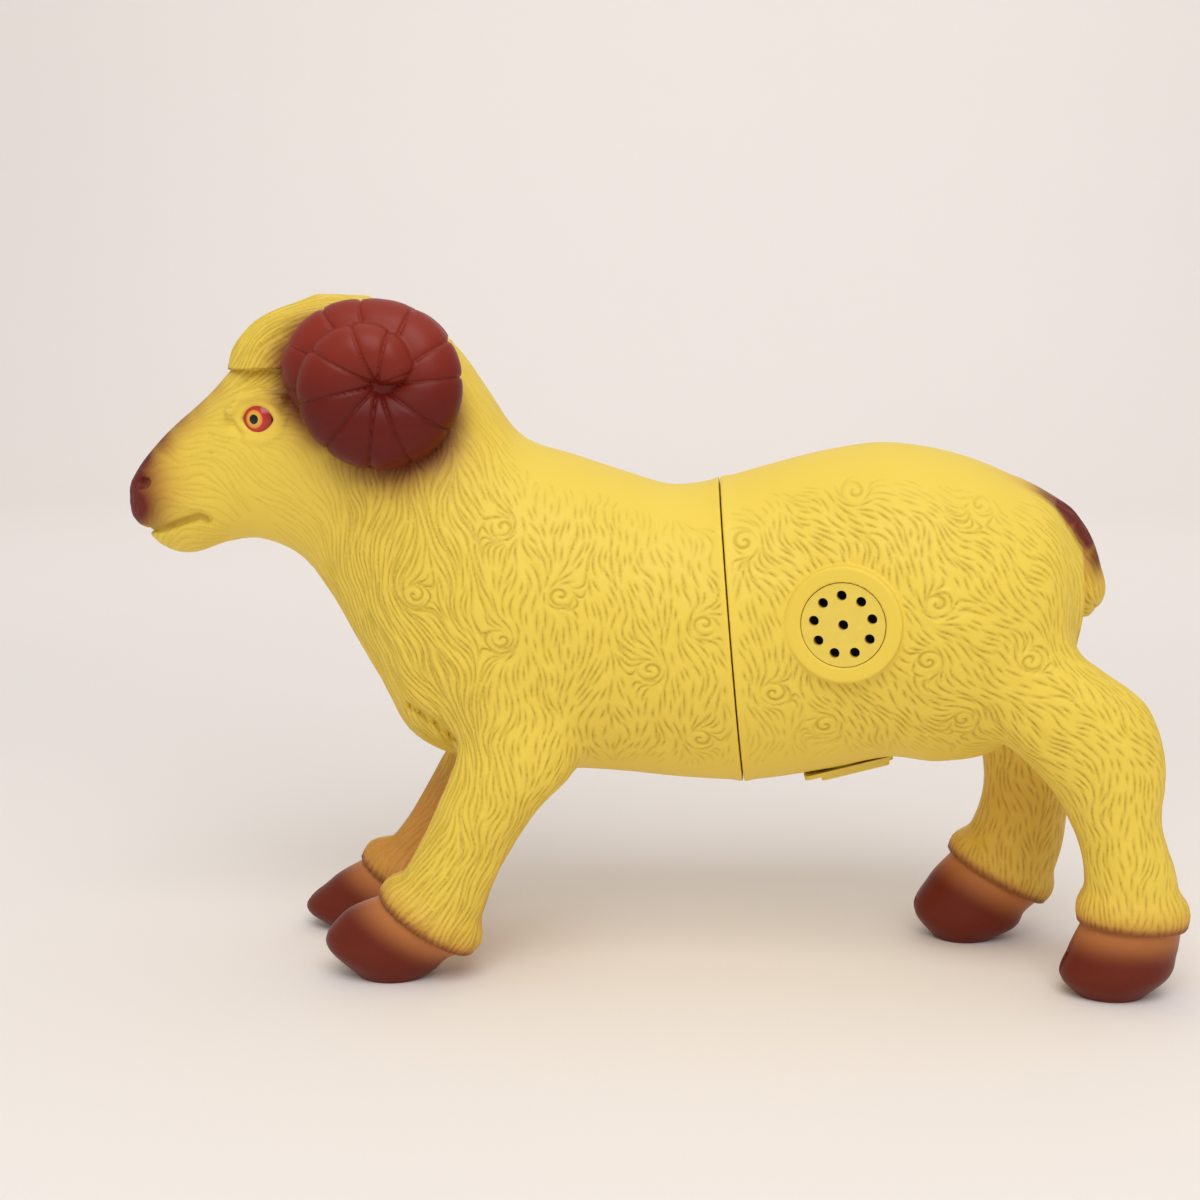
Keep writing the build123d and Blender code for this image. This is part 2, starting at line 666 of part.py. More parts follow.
cover_outside = Plane(
    origin=boss_plane.offset(cover_back).origin,
    x_dir=boss_plane.x_dir,
    z_dir=-boss_plane.z_dir,
)
ear_spots = [(ear_place * cos(2 * pi * index / EAR_COUNT), ear_place * sin(2 * pi * index / EAR_COUNT))
             for index in range(EAR_COUNT)]
capsule_screws = screw(cover_outside, ear_spots, SCREW_HEAD_HEIGHT, CAPSULE_SCREW_LENGTH)
save(capsule_screws, "capsule_screws")

# Speaker
save(turned(ring(drop_in, drop_in - GASKET_WIDTH, shoulder_back, frame_front)), "speaker_gasket")

basket_rim = rim_inner - SLIP - FRAME_SHEET
basket_foot = MAGNET_RADIUS + FRAME_FOOT
coil_inner = COIL_RADIUS - COIL_WALL / 2
coil_outer = COIL_RADIUS + COIL_WALL / 2
basket_bend = frame_front - FRAME_STRAIGHT
speaker_frame = turned([
    (basket_rim, frame_front),
    (drop_in, frame_front),
    (drop_in, frame_front - FRAME_SHEET),
    (basket_rim + FRAME_SHEET, frame_front - FRAME_SHEET),
    (basket_rim + FRAME_SHEET, basket_bend - FRAME_SHEET),
    (basket_foot + FRAME_SHEET, frame_back),
    (coil_outer + COIL_GAP, frame_back),
    (coil_outer + COIL_GAP, frame_back + FRAME_SHEET),
    (basket_foot, frame_back + FRAME_SHEET),
    (basket_rim, basket_bend),
])
save(speaker_frame, "speaker_frame")

save(turned(ring(MAGNET_RADIUS, coil_outer + 2 * COIL_GAP, frame_back, magnet_back)), "speaker_magnet")
speaker_yoke = turned([
    (0, frame_back + FRAME_SHEET),
    (POLE_RADIUS, frame_back + FRAME_SHEET),
    (POLE_RADIUS, magnet_back),
    (MAGNET_RADIUS, magnet_back),
    (MAGNET_RADIUS, magnet_back - YOKE_THICKNESS),
    (0, magnet_back - YOKE_THICKNESS),
])
save(speaker_yoke, "speaker_yoke")

# Paper cone with its former, and the voice coil wound on the former
cone_rim = basket_rim - CONE_RIM_GAP
cone_top = frame_front - CONE_TRAVEL
cone_neck = cone_top - CONE_DEPTH
former_inner = POLE_RADIUS + COIL_GAP
former_outer = coil_inner - WINDING_GAP
coil_top = frame_back + FRAME_SHEET + COIL_LENGTH / 4
coil_bottom = coil_top - COIL_LENGTH
speaker_cone = turned([
    (0, cone_neck + CONE_SHEET),
    (former_outer, cone_neck + CONE_SHEET),
    (cone_rim, cone_top),
    (cone_rim, cone_top - CONE_SHEET),
    (former_outer, cone_neck),
    (former_outer, coil_bottom),
    (former_inner, coil_bottom),
    (former_inner, cone_neck),
    (0, cone_neck),
])
save(speaker_cone, "speaker_cone")
save(turned(ring(coil_outer, coil_inner, coil_top, coil_bottom)), "voice_coil")

# Spacer ring between the speaker and the board, and the board itself
save(turned(ring(drop_in, rim_inner, frame_front - FRAME_SHEET, board_front)), "board_spacer")
with BuildPart() as circuit_board:
    with BuildSketch(boss_plane.offset(board_front)):
        Circle(drop_in)
    extrude(amount=-BOARD_THICKNESS)
save(circuit_board, "circuit_board")

# Leads from the speaker straight back to the board, beside the magnet
lead_circle = MAGNET_RADIUS + SPEAKER_LEAD_RADIUS + SOLDER_GAP
lead_start = 90 - SPEAKER_LEAD_TURN
lead_range = 2 * SPEAKER_LEAD_TURN * SPEAKER_LEAD_COUNT
with BuildPart() as speaker_leads:
    with BuildSketch(boss_plane.offset(frame_back)):
        with PolarLocations(lead_circle, SPEAKER_LEAD_COUNT, lead_start, lead_range):
            Circle(SPEAKER_LEAD_RADIUS)
    extrude(amount=board_front - frame_back)
save(speaker_leads, "speaker_leads")

# Places on the back of the board, worked out from the rim of the cover round it


def board_spot(turn, gap, radius):
    """Place of a round piece at a turn round the board, in degrees, with a gap to the rim."""
    reach = rim_inner - gap - radius
    return reach * cos(radians(turn)), reach * sin(radians(turn))


chip_spot = board_spot(CHIP_TURN, CHIP_GAP, CHIP_RADIUS)
capacitor_spot = board_spot(CAPACITOR_TURN, CAPACITOR_GAP, CAPACITOR_RADIUS)
can_corner = rim_inner - TILT_CAN_GAP
can_place = sqrt(can_corner**2 - (TILT_CAN_LENGTH / 2)**2) - TILT_CAN_RADIUS

# Chip under a drop of resin
chip_ball_radius = (CHIP_RADIUS**2 + CHIP_HEIGHT**2) / (2 * CHIP_HEIGHT)
with BuildPart() as sound_chip:
    with BuildSketch(boss_plane.offset(board_back)):
        with Locations(chip_spot):
            Circle(CHIP_RADIUS)
    extrude(amount=-CHIP_HEIGHT)
    with Locations(boss_plane.offset(board_back - CHIP_HEIGHT + chip_ball_radius)):
        with Locations(chip_spot):
            Sphere(chip_ball_radius, mode=Mode.INTERSECT)
save(sound_chip, "sound_chip")

with BuildPart() as capacitor:
    with BuildSketch(boss_plane.offset(board_back)):
        with Locations(capacitor_spot):
            Circle(CAPACITOR_RADIUS)
    extrude(amount=-CAPACITOR_HEIGHT)
save(capacitor, "capacitor")

# Tilt switch: an upright can with a ball that rolls to the cap when the toy is tipped
can_level = board_back - SOLDER_GAP - TILT_CAN_RADIUS
can_foot = Plane(
    origin=boss_plane.from_local_coords((can_place, -TILT_CAN_LENGTH / 2, can_level)),
    z_dir=boss_plane.y_dir,
)
can_inner = TILT_CAN_RADIUS - TILT_CAN_WALL
with BuildPart() as tilt_can:
    with BuildSketch(can_foot):
        Circle(TILT_CAN_RADIUS)
    extrude(amount=TILT_CAN_LENGTH)
    with BuildSketch(can_foot.offset(TILT_CAN_WALL)):
        Circle(can_inner)
    extrude(amount=TILT_CAN_LENGTH, mode=Mode.SUBTRACT)
save(tilt_can, "tilt_can")

with BuildPart() as tilt_cap:
    with BuildSketch(can_foot.offset(TILT_CAN_LENGTH - TILT_CAP_DEPTH)):
        Circle(can_inner - SOLDER_GAP)
    extrude(amount=TILT_CAP_DEPTH)
save(tilt_cap, "tilt_cap")

with BuildPart() as tilt_ball:
    with Locations(can_foot.offset(TILT_CAN_WALL + TILT_BALL_GAP + TILT_BALL_RADIUS)):
        Sphere(TILT_BALL_RADIUS)
save(tilt_ball, "tilt_ball")

# Battery tray: cell well and screw post hanging from a flat frame
with BuildPart() as battery_tray:
    with BuildSketch(tray_plane):
        with Locations((frame_shift, 0)):
            RectangleRounded(frame_length, frame_width, FRAME_CORNER)
    extrude(amount=-FRAME_THICKNESS)
    with BuildSketch(tray_plane):
        with Locations(well_spot):
            Circle(well_radius + TRAY_WALL)
        with Locations(post_spot):
            Circle(POST_RADIUS)
    extrude(amount=-tray_depth)
    with BuildSketch(tray_plane):
        with Locations(well_spot):
            Circle(well_radius)
    extrude(amount=-well_depth, mode=Mode.SUBTRACT)
    with BuildSketch(tray_plane):
        with Locations(post_spot):
            Circle(screw_hole)
    extrude(amount=-DOOR_SCREW_LENGTH, mode=Mode.SUBTRACT)
    with BuildSketch(tray_plane):
        with Locations((strip_place, 0)):
            Rectangle(CONTACT_SHEET + 2 * SLIP, CONTACT_WIDTH + 2 * SLIP)
    extrude(amount=-tray_depth, mode=Mode.SUBTRACT)
    with BuildSketch(tray_plane.offset(-well_depth)):
        with Locations((leaf_place, 0)):
            Rectangle(CONTACT_SHEET + 2 * SLIP, CONTACT_WIDTH + 2 * SLIP)
    extrude(amount=-TRAY_WALL, mode=Mode.SUBTRACT)
save(battery_tray, "battery_tray")

with BuildPart() as button_cells:
    for index in range(CELL_COUNT):
        level = -cell_floor - index * (CELL_HEIGHT + CELL_GAP)
        with BuildSketch(tray_plane.offset(level)):
            with Locations(well_spot):
                Circle(CELL_RADIUS)
        extrude(amount=-CELL_HEIGHT)
save(button_cells, "button_cells")


def contact(points):
    """Bent contact strip across the middle of the tray, from points along the tray and their depths."""
    with BuildPart() as strip:
        with BuildSketch(tray_section) as profile:
            with BuildLine():
                Polyline(*points)
            trace(line_width=CONTACT_SHEET)
        extrude(profile.sketch, amount=CONTACT_WIDTH / 2, both=True)
    return strip


tab_level = -tray_depth - CONTACT_TAB
leaf_level = -well_depth + CONTACT_SHEET / 2 + SOLDER_GAP
contact_leaf = contact([
    (leaf_place, tab_level),
    (leaf_place, leaf_level),
    (well_spot[0] - LEAF_REACH, leaf_level),
    (well_spot[0], -cell_floor - cell_stack - CONTACT_SHEET),
])
save(contact_leaf, "contact_leaf")
foot_level = -DOOR_SPIGOT_DEPTH - (CONTACT_SHEET + SLIP) / 2
contact_strip = contact([
    (well_spot[0] - LEAF_REACH / 2, foot_level),
    (strip_place, foot_level),
    (strip_place, tab_level),
])
save(contact_strip, "contact_strip")

# Battery door with a spigot in the well, held by one screw
with BuildPart() as battery_door:
    with BuildSketch(tray_plane):
        RectangleRounded(tray_length + 2 * DOOR_LAP, tray_width + 2 * DOOR_LAP, DOOR_CORNER)
    extrude(amount=DOOR_THICKNESS)
    with BuildSketch(tray_plane):
        with Locations(well_spot):
            Circle(well_radius - DOOR_SPIGOT_CLEARANCE)
    extrude(amount=-DOOR_SPIGOT_DEPTH)
    with BuildSketch(tray_plane.offset(DOOR_THICKNESS)):
        with Locations(post_spot):
            Circle(screw_hole)
    extrude(amount=-DOOR_THICKNESS, mode=Mode.SUBTRACT)
    with BuildSketch(tray_plane.offset(DOOR_THICKNESS)):
        with Locations(post_spot):
            Circle(SCREW_HEAD_RADIUS + SLIP)
    extrude(amount=-DOOR_SCREW_HEAD, mode=Mode.SUBTRACT)
save(battery_door, "battery_door")

head_seat = DOOR_THICKNESS - DOOR_SCREW_HEAD
door_screw = screw(tray_plane.offset(head_seat), [post_spot], DOOR_SCREW_HEAD, DOOR_SCREW_LENGTH)
save(door_screw, "door_screw")

# Battery leads from the contact tabs through the cover to the board
lead_starts = [(strip_place, -LEAD_SPREAD), (leaf_place, LEAD_SPREAD)]
with BuildPart() as battery_leads:
    for start, spread in lead_starts:
        route = [
            tray_plane.from_local_coords((start, 0, tab_level - LEAD_RADIUS)),
            boss_plane.from_local_coords((spread, -LEAD_LEVEL, cover_back - LEAD_STAND)),
            boss_plane.from_local_coords((spread, -LEAD_LEVEL, board_back - SOLDER_GAP)),
        ]
        with BuildLine() as path:
            FilletPolyline(*route, radius=LEAD_BEND_RADIUS)
        with BuildSketch(Plane(origin=path.line @ 0, z_dir=path.line % 0)):
            Circle(LEAD_RADIUS)
        sweep(path=path.line)
save(battery_leads, "battery_leads")
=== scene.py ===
"""Looks of the sounding vinyl ram: engraved wool skins, ribbed horns, cloven hooves and painted eyes
over the CAD frame. Sizes are in millimetres in the shared frame until a mesh is made. The stage, its
lights and the materials are in metres.
"""

import math

import bpy
import numpy as np
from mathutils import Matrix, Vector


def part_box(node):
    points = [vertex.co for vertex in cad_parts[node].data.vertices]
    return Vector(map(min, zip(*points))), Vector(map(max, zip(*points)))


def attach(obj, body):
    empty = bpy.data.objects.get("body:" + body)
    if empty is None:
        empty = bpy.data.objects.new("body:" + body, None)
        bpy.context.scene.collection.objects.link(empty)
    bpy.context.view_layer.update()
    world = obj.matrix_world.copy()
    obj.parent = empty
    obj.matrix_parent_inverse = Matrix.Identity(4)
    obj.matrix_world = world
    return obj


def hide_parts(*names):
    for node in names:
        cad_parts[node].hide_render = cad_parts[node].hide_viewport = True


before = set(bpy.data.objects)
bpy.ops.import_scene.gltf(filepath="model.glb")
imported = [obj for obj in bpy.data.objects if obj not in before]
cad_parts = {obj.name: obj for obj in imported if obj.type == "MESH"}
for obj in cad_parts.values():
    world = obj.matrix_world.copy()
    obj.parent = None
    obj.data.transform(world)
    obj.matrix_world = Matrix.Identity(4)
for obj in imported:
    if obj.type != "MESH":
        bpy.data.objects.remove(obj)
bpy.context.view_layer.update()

import openvdb
from mathutils import Vector
from mathutils.kdtree import KDTree

MM = 0.001

# How finely the pieces are sampled
SKIN_SPACING = 0.43
SMALL_SPACING = 0.45
BAND = 7.0  # distances are exact up to this far from a form
FORM_STEPS = 8  # rings between two stations
RING_POINTS = 72
DOME_RINGS = 6
SKIN_TRIANGLES = 560000
LEAST = 1e-9  # keeps sums and lengths from being zero
LEAST_LENGTH = 1e-6

# Vinyl skin and waist, as in the CAD
WALL = 3.0
SEAM = ((20.8, 148.5), (29.0, 57.0), 36.5)
SEAM_GAP = 0.4
SEAM_LIP = 0.5
SEAM_LIP_WIDTH = 2.5
COLLAR_RADIUS = 26.0
COLLAR_GAP = 0.4
COLLAR_REACH = 6.3
SEAM_EDGE = 0.5  # rounding of the skins at the seam
INNER_DEPTH = 1.0  # points deeper than this below the outer form lie inside the skin

# Corners of the boxes in which the halves and the left horn are sampled
FRONT_BOX = ((-163, -42, 3), (32, 42, 207))
REAR_BOX = ((13, -49, 8), (162, 47, 163))
HORN_BOX = ((-110, -48, 148), (-44, -8, 206))
HOOF_MARGIN = 2  # room round a hoof's form

# Oval stations of the body: upper end, lower end and half width
FRONT_BODY = [
    SEAM,
    ((15, 147.3), (21, 57.2), 36.3),
    ((5, 146.8), (8, 57.9), 36.3),
    ((-8, 150.5), (-4, 59), 37),
    ((-22, 155), (-16, 59.8), 38),
    ((-40, 162), (-49, 61), 37),
    ((-50, 176), (-71, 69), 34),
    ((-58, 187), (-84, 90), 30),
    ((-68, 195), (-97, 113), 26),
    ((-82, 199), (-106, 124), 23),
    ((-98, 198.5), (-117, 129), 20.5),
    ((-119, 187), (-128, 128.5), 17.5),
    ((-134, 172.5), (-141, 124.8), 13.5),
    ((-149, 159), (-150, 127.5), 11),
    ((-155.4, 151.2), (-155.2, 131.8), 8.6),
    ((-158.0, 147.2), (-157.7, 135), 4.8),
]
REAR_BODY = [
    SEAM,
    ((38, 153.5), (38, 58), 36.8),
    ((54, 157.5), (55, 61.2), 39),
    ((70, 159.5), (72, 65), 42),
    ((90, 156.5), (88, 64), 42.5),
    ((106, 150.5), (104, 68), 38.5),
    ((118, 144), (117, 80), 31),
    ((126, 134), (125.5, 97), 19),
]
NOSE_DOME = 0.4
RUMP_DOME = 2.0
TAIL = [
    ((108, 149), (96, 134), 8),
    ((126, 139), (112, 128), 10),
    ((133.5, 124.5), (119, 118), 10.5),
    ((134.6, 113.5), (122, 112), 8.5),
    ((131.5, 109), (126, 109), 4),
]
TAIL_DOME = 1.0
TAIL_BLEND = 1.5

# Oval stations of the legs and hooves: front end, back end, half width and side
LEGS = {
    "front_left": [
        ((-62, 98), (-14, 92), 15, -20),
        ((-55, 72), (-21, 64), 14.5, -22.5),
        ((-61.5, 54), (-32, 52), 13, -24),
        ((-68.5, 39), (-42, 36), 12.3, -24),
        ((-74.5, 29.5), (-48.5, 21), 12.8, -24),
        ((-79.5, 25.7), (-52.5, 7.8), 13.3, -24),
    ],
    "front_right": [
        ((-64, 98), (-16, 92), 15, 20),
        ((-60, 72), (-24, 64), 14.5, 22.5),
        ((-68.5, 54), (-38, 50), 13, 24),
        ((-77.5, 38.5), (-50, 33), 12.3, 24),
        ((-85.5, 28.5), (-58.5, 19), 12.8, 24),
        ((-93.5, 23.2), (-66, 6.8), 13.3, 24),
    ],
    "rear_left": [
        ((80, 112), (108, 117), 13, -20),
        ((90, 95), (124, 101), 15, -23),
        ((100, 79), (143, 87), 15, -25),
        ((117, 62), (149.8, 69), 13, -26),
        ((125.5, 47), (149.5, 52), 12, -26),
        ((128.2, 34), (154, 37), 12.6, -26),
        ((127, 22.5), (157.5, 21.5), 13.3, -26),
    ],
    "rear_right": [
        ((78, 112), (106, 117), 13, 20),
        ((86, 95), (120, 100), 15, 23),
        ((94, 79), (134, 85), 15, 25),
        ((103, 62), (136, 66), 13, 26),
        ((104.5, 48), (131, 49), 12, 26),
        ((100.5, 36), (129.5, 31), 12.6, 26),
        ((94.5, 28.5), (124, 12.5), 13.3, 26),
    ],
}
LEG_BLEND = 6.0
HEM_ROLL = 4.4  # radius of the roll at the lower edge of a leg
HEM_OUT = 0.8  # how far it stands out
HEM_RISE = 3.7  # height of the roll's middle above the edge
HEM_BLEND = 3.5
TUBE_POINTS = 16
HOOVES = {
    "front_left": [
        ((-92, 18), (-60, 5.5), 12), ((-96.2, 10), (-63, 2.5), 11.5), ((-86, 0), (-67, 0), 8.5),
    ],
    "front_right": [
        ((-105, 14.5), (-74, 5), 12), ((-111.8, 5), (-78.5, 2), 11.5), ((-104, 0), (-82, 0), 8.5),
    ],
    "rear_left": [
        ((124, 13), (155.2, 13), 12.3), ((122, 5), (153, 6), 12), ((127, 0), (146, 0), 8.5),
    ],
    "rear_right": [
        ((88, 19), (118.5, 9), 12.3), ((83.8, 7.5), (115, 3.5), 12), ((90, 0), (108, 0), 8.5),
    ],
}
FRONT_LEGS = ("front_left", "front_right")
REAR_LEGS = ("rear_left", "rear_right")
CREASE_STEP = 1.2
CLEFT_WIDTH = 1.6
CLEFT_LENGTH = 13.0
CLEFT_HEIGHT = 12.0
CLEFT_EDGE = 0.8
TOE_PAINT = 11.0  # how far below the crease the toe's paint is full

# Fold between the brisket and the forelegs
FOLD = [(-70, 81.5), (-63, 77.0), (-57, 71.5)]
FOLD_WIDTH = 0.3
FOLD_DEPTH = 1.1
FOLD_BLEND = 3.2

# Head, which looks a little to its left, so that the right horn and eye lie further forward
HEAD_TURN = 7.0
FORELOCK = [
    ((-127.6, 180.5), (-72, 183), 21.5),
    ((-124.5, 189), (-70, 190), 19.5),
    ((-114, 197.6), (-75, 197.5), 15),
    ((-101, 202.2), (-84, 202.1), 7),
]
FORELOCK_DOME = 0.6
FORELOCK_BLEND = 0.6
EYE_CENTRE = (-114.6, 18.6, 166.7)
EYE_TURN = 12.0
LID_HOLE_DEPTH = 4.4
LID_ARCS = ((-1.6, 5.0), (1.9, 5.2))  # middle's height and radius of the upper and lower lid's arc
LID_THICKNESS = 1.4
LID_SINK = 0.7
LID_BLEND = 1.0
LID_EDGE = 0.4
BROW = [(-8.5, 2.2), (-5.0, 6.0), (1.0, 7.4), (7.0, 5.4)]
BROW_THICKNESS = 1.8
BROW_BLEND = 3.0
UNDER_EYE = [(-3.5, -5.8), (2.5, -6.2), (6.8, -3.8), (8.6, 0.4)]
UNDER_EYE_THICKNESS = 0.9
UNDER_EYE_BLEND = 1.8
SOCKET = ((0.0, 10.0, 1.0), (17.0, 12.2, 12.0))
SOCKET_BLEND = 1.6
NOSTRIL = ((-152.6, 9.4, 146.8), (2.8, 2.4, 1.9))
NOSTRIL_BLEND = 1.2
MOUTH = [(-160, 133.4), (-153, 132.2), (-147, 132.8), (-140, 135.4), (-134.5, 137.2), (-132, 136.0)]
MOUTH_HALF_WIDTH = 0.5
MOUTH_DEPTH = 1.5
MOUTH_SHADE = 1.2
MOUTH_BLEND = 2.6
CHIN_CUT = ((-160.0, 0.0, 128.0), (8.5, 16.0, 4.4))
CHIN_BLEND = 1.5

# Left horn: a fat coil about an axis across the head, given at angles along it, in degrees
HORN_CENTRE = (-75.5, 177.6)
HORN_COIL = [
    # angle, outer reach, half width, side of its middle, half depth
    (-30, 25.5, 9.0, 19.0, 9.0),
    (0, 30.3, 11.0, 22.5, 9.5),
    (90, 24.0, 11.0, 25.5, 9.5),
    (180, 23.0, 11.5, 28.5, 9.5),
    (270, 24.5, 12.3, 31.8, 9.2),
    (360, 24.0, 12.0, 33.4, 8.6),
    (430, 18.5, 9.4, 34.6, 7.4),
    (500, 12.5, 6.6, 35.4, 6.0),
]
HORN_GROOVES = (-4, 22, 50, 74, 112, 147, 175, 215, 249, 277, 311, 347, 387, 426, 462)
HORN_ENDS = (-60, 520)  # angles where the first rib starts and the last one ends
HORN_RIB_DOME = 0.4
HORN_RIB_POWER = 4  # how flat the ribs are in their middles
HORN_RIB_CUT = 0.5
HORN_CUT_WIDTH = 0.38
HORN_CORE = ((-74.6, -27.0, 179.0), (9.0, 10.0, 9.0))
horn_stagger = (HORN_COIL[1][3] + HORN_COIL[5][3]) * math.sin(math.radians(HEAD_TURN))
eye_stagger = 2 * EYE_CENTRE[1] * math.sin(math.radians(HEAD_TURN))
HORN_BLEND = 0.8
HORN_HIGHLIGHT_HEIGHTS = (168, 196)  # heights between which the paint gets lighter: a painted highlight on the horn's upper part
RIGHT_HORN_SIZE = 0.95  # over the left one's; it is hidden from the photo's side

# Boss of the sound outlet and the battery tray, as in the CAD
BOSS_CENTRE = (56.0, -40.8, 111.0)
BOSS_TURN = 12.0
BOSS_RADIUS = 16.7
BOSS_DEPTH = 5.0
BOSS_EDGE = 1.0
BOSS_BLEND = 0.8
BOSS_HOLE = 12.15
CUP_HOLE = 15.3
TRAY_CENTRE = (62.0, 62.2)
TRAY_TILT = 15.0
TRAY_RECESS = 1.2
TRAY_GAP = 0.3
TRAY_SHIFT = 1.7
TRAY_HALF_LENGTH = 14.4
WELL_HALF_LENGTH = 10.4
WELL_HALF_WIDTH = 7.6
WELL_DEPTH = 30

# Wool: how the strokes run in the side view, as X, Z, angle in degrees and strength
HAIR = [
    (-142, 139, 60, 0.35), (-138, 159, -25, 0.2), (-131, 153, -25, 0.4), (-119, 157, -35, 0.35),
    (-108, 146, -45, 0.03), (-124, 137, -45, 0.03), (-98, 139, -75, 0.35), (-79, 139, -88, 1.0),
    (-57, 140, -95, 1.0), (-119, 186, 60, 1.3), (-108, 195, 42, 1.3), (-94, 201, 15, 1.2),
    (-78, 200, -10, 0.9), (-50, 177, -60, 0.15), (-126, 172, -20, 0.05), (-60, 160, -80, 0.4),
    (-40, 150, -82, 0.6), (-28, 156, -70, 0.05), (-50, 125, -85, 1.0), (-70, 105, -72, 1.0),
    (-88, 100, -72, 0.9), (-60, 85, -70, 1.0), (-20, 130, -80, 0.9), (-20, 100, -86, 1.0),
    (-25, 75, -92, 0.9), (5, 135, -75, 0.5), (5, 110, -84, 1.0), (5, 85, -88, 1.0),
    (8, 70, -92, 0.6), (0, 58, -90, 0.1), (40, 58, -90, 0.1), (80, 62, -60, 0.2),
    (10, 148, -70, 0.0), (28, 145, -55, 0.3), (38, 122, -52, 0.9), (32, 100, -75, 0.8),
    (36, 75, -80, 0.45), (52, 152, -35, 0.5), (62, 138, -60, 0.9), (80, 140, -65, 0.9),
    (80, 157, -20, 0.1), (76, 115, -55, 1.0), (95, 124, -45, 1.0), (110, 130, -40, 0.6),
    (105, 146, -30, 0.15), (75, 90, -55, 1.0), (95, 100, -40, 1.0), (115, 105, -55, 0.7),
    (100, 80, -30, 1.0), (120, 85, -25, 1.0), (142, 82, -55, 0.8), (134, 60, -80, 0.9),
    (140, 35, -88, 0.7), (112, 45, -88, 0.8), (112, 25, -100, 0.7), (-40, 60, -105, 0.9),
    (-52, 42, -110, 0.9), (-62, 25, -125, 0.8), (-75, 30, -125, 0.8), (126, 130, -60, 1.1),
    (131, 115, -75, 1.1), (120, 142, -42, 0.5),
]
HAIR_REACH = 11.0  # how far one of these carries
HAIR_MAP_LOW = (-170.0, -10.0)
HAIR_MAP_SIZE = (340.0, 225.0)
HAIR_MAP_SPACING = 0.8
WAVE_SIZE = 6.5
WAVE_TURN = 0.8  # greatest turn of the strokes from their run, in radians

# Curls in the wool, as X and Z, with the radius and the pitch of their spirals
CURLS = [
    (-41, 137), (-24, 118), (-41, 105), (-67, 117), (1.7, 96.5), (17, 110), (28, 133), (37, 90),
    (52, 80), (59, 147.5), (95, 144), (82, 117.5), (80, 101), (109, 101), (91, 83), (16, 75),
]
CURL_RADIUS = 4.6
CURL_PITCH = 2.9
CURL_SQUASH = 0.85
CURL_SHADE = 0.7
CURL_PULL = 1.5  # how far a curl turns the strokes round it, over its radius
CURL_DRAW = 0.25  # how much these strokes run inwards
CURL_SIZES = (0.75, 1.1)  # least and greatest radius over the usual one
CURL_FADE = 0.6  # share of the radius from which a curl fades
CURL_CUT = (0.25, 1.0)  # height of its wave where a cut starts and is full
CURL_FACING = (0.4, 0.7)  # slope to the side where curls start and are full
CURL_SEED = 3

# Strokes cut into the wool
STROKE_LENGTH = 6.4
STROKE_SPREAD = 0.45  # share by which a stroke's length varies
NECK_STROKE = 1.0  # share by which they are longer on the neck
STROKE_PITCH = 1.45
STROKE_STEP = 0.35
STROKE_HALF_WIDTH = 0.33
STROKE_DEPTH = 0.55
STROKE_LIP = 0.3  # height of the wool pushed up beside a stroke, over the stroke's depth
STROKE_LIP_PLACE = 2  # middle of that wool beside a stroke, over the stroke's half width
STROKE_TRIES = 120000
STROKE_SEED = 5
LENGTH_SEED = 9
NECK = (-30, -60)  # X where the strokes start to be longer, and where they are longest
WOOL_LEAST = 0.15  # strength below which there are no strokes
WOOL_FULL = 0.8  # strength from which the strokes are close and deep
WOOL_FAINT = 0.35  # depth of the faintest strokes over the deepest ones'
LOCK_SIZE = 3.2
LOCK_STEP = 1.2
LOCK_STEPS = 5
LOCK_DEPTH = 0.16
NOISE_POINTS = 61
NOISE_SEED = 7

# Where the strokes fade out: distances from the seam, slopes and places
SEAM_PLAIN = (1.0, 3.5)
BACK_PLAIN = (0.55, 0.9)
BELLY_PLAIN = (0.5, 0.9)
FRONT_BACK = (-62, -50)
FRONT_BELLY = (75, 62)
REAR_BACK = (118, 106)
REAR_BELLY = (80, 66)
LID_PLAIN = (6.5, 9.0)
LID_SIDE = 10
BOSS_PLAIN = (17.2, 18.5)

# Camera and stage
CAMERA_TARGET = (-15.25, 0.0, 111.25)
CAMERA_DISTANCE = 620.0
CAMERA_YAW = 4.0
CAMERA_PITCH = 8.7
CAMERA_SENSOR = 36.0
CAMERA_FOCAL_PIXELS = 2046.0
PHOTO_PIXELS = 1200.0


# Fields on a grid
class Grid:
    """Box of evenly spaced sample points."""

    def __init__(self, low, high, spacing):
        self.low = np.array(low, float)
        self.spacing = spacing
        self.shape = tuple(int((top - base) / spacing) + 2 for base, top in zip(low, high))
        axes = [base + spacing * np.arange(count) for base, count in zip(low, self.shape)]
        places = np.meshgrid(*axes, indexing="ij", sparse=True)
        self.x, self.y, self.z = (place.astype(np.float32) for place in places)

    def distance(self, points, quads):
        """Signed distance to a closed mesh."""
        level = openvdb.FloatGrid.createLevelSetFromPolygons(
            (points - self.low).astype(np.float32),
            quads=quads.astype(np.uint32),
            transform=openvdb.createLinearTransform(voxelSize=self.spacing),
            halfWidth=BAND / self.spacing,
        )
        field = np.empty(self.shape, np.float32)
        level.copyToArray(field)
        return field

    def surface(self, field):
        """Points and quads where a field is zero."""
        level = openvdb.FloatGrid(BAND)
        level.copyFromArray(np.ascontiguousarray(np.clip(field, -BAND, BAND), np.float32))
        points, quads = level.convertToQuads(0.0)
        return self.low + points * self.spacing, quads


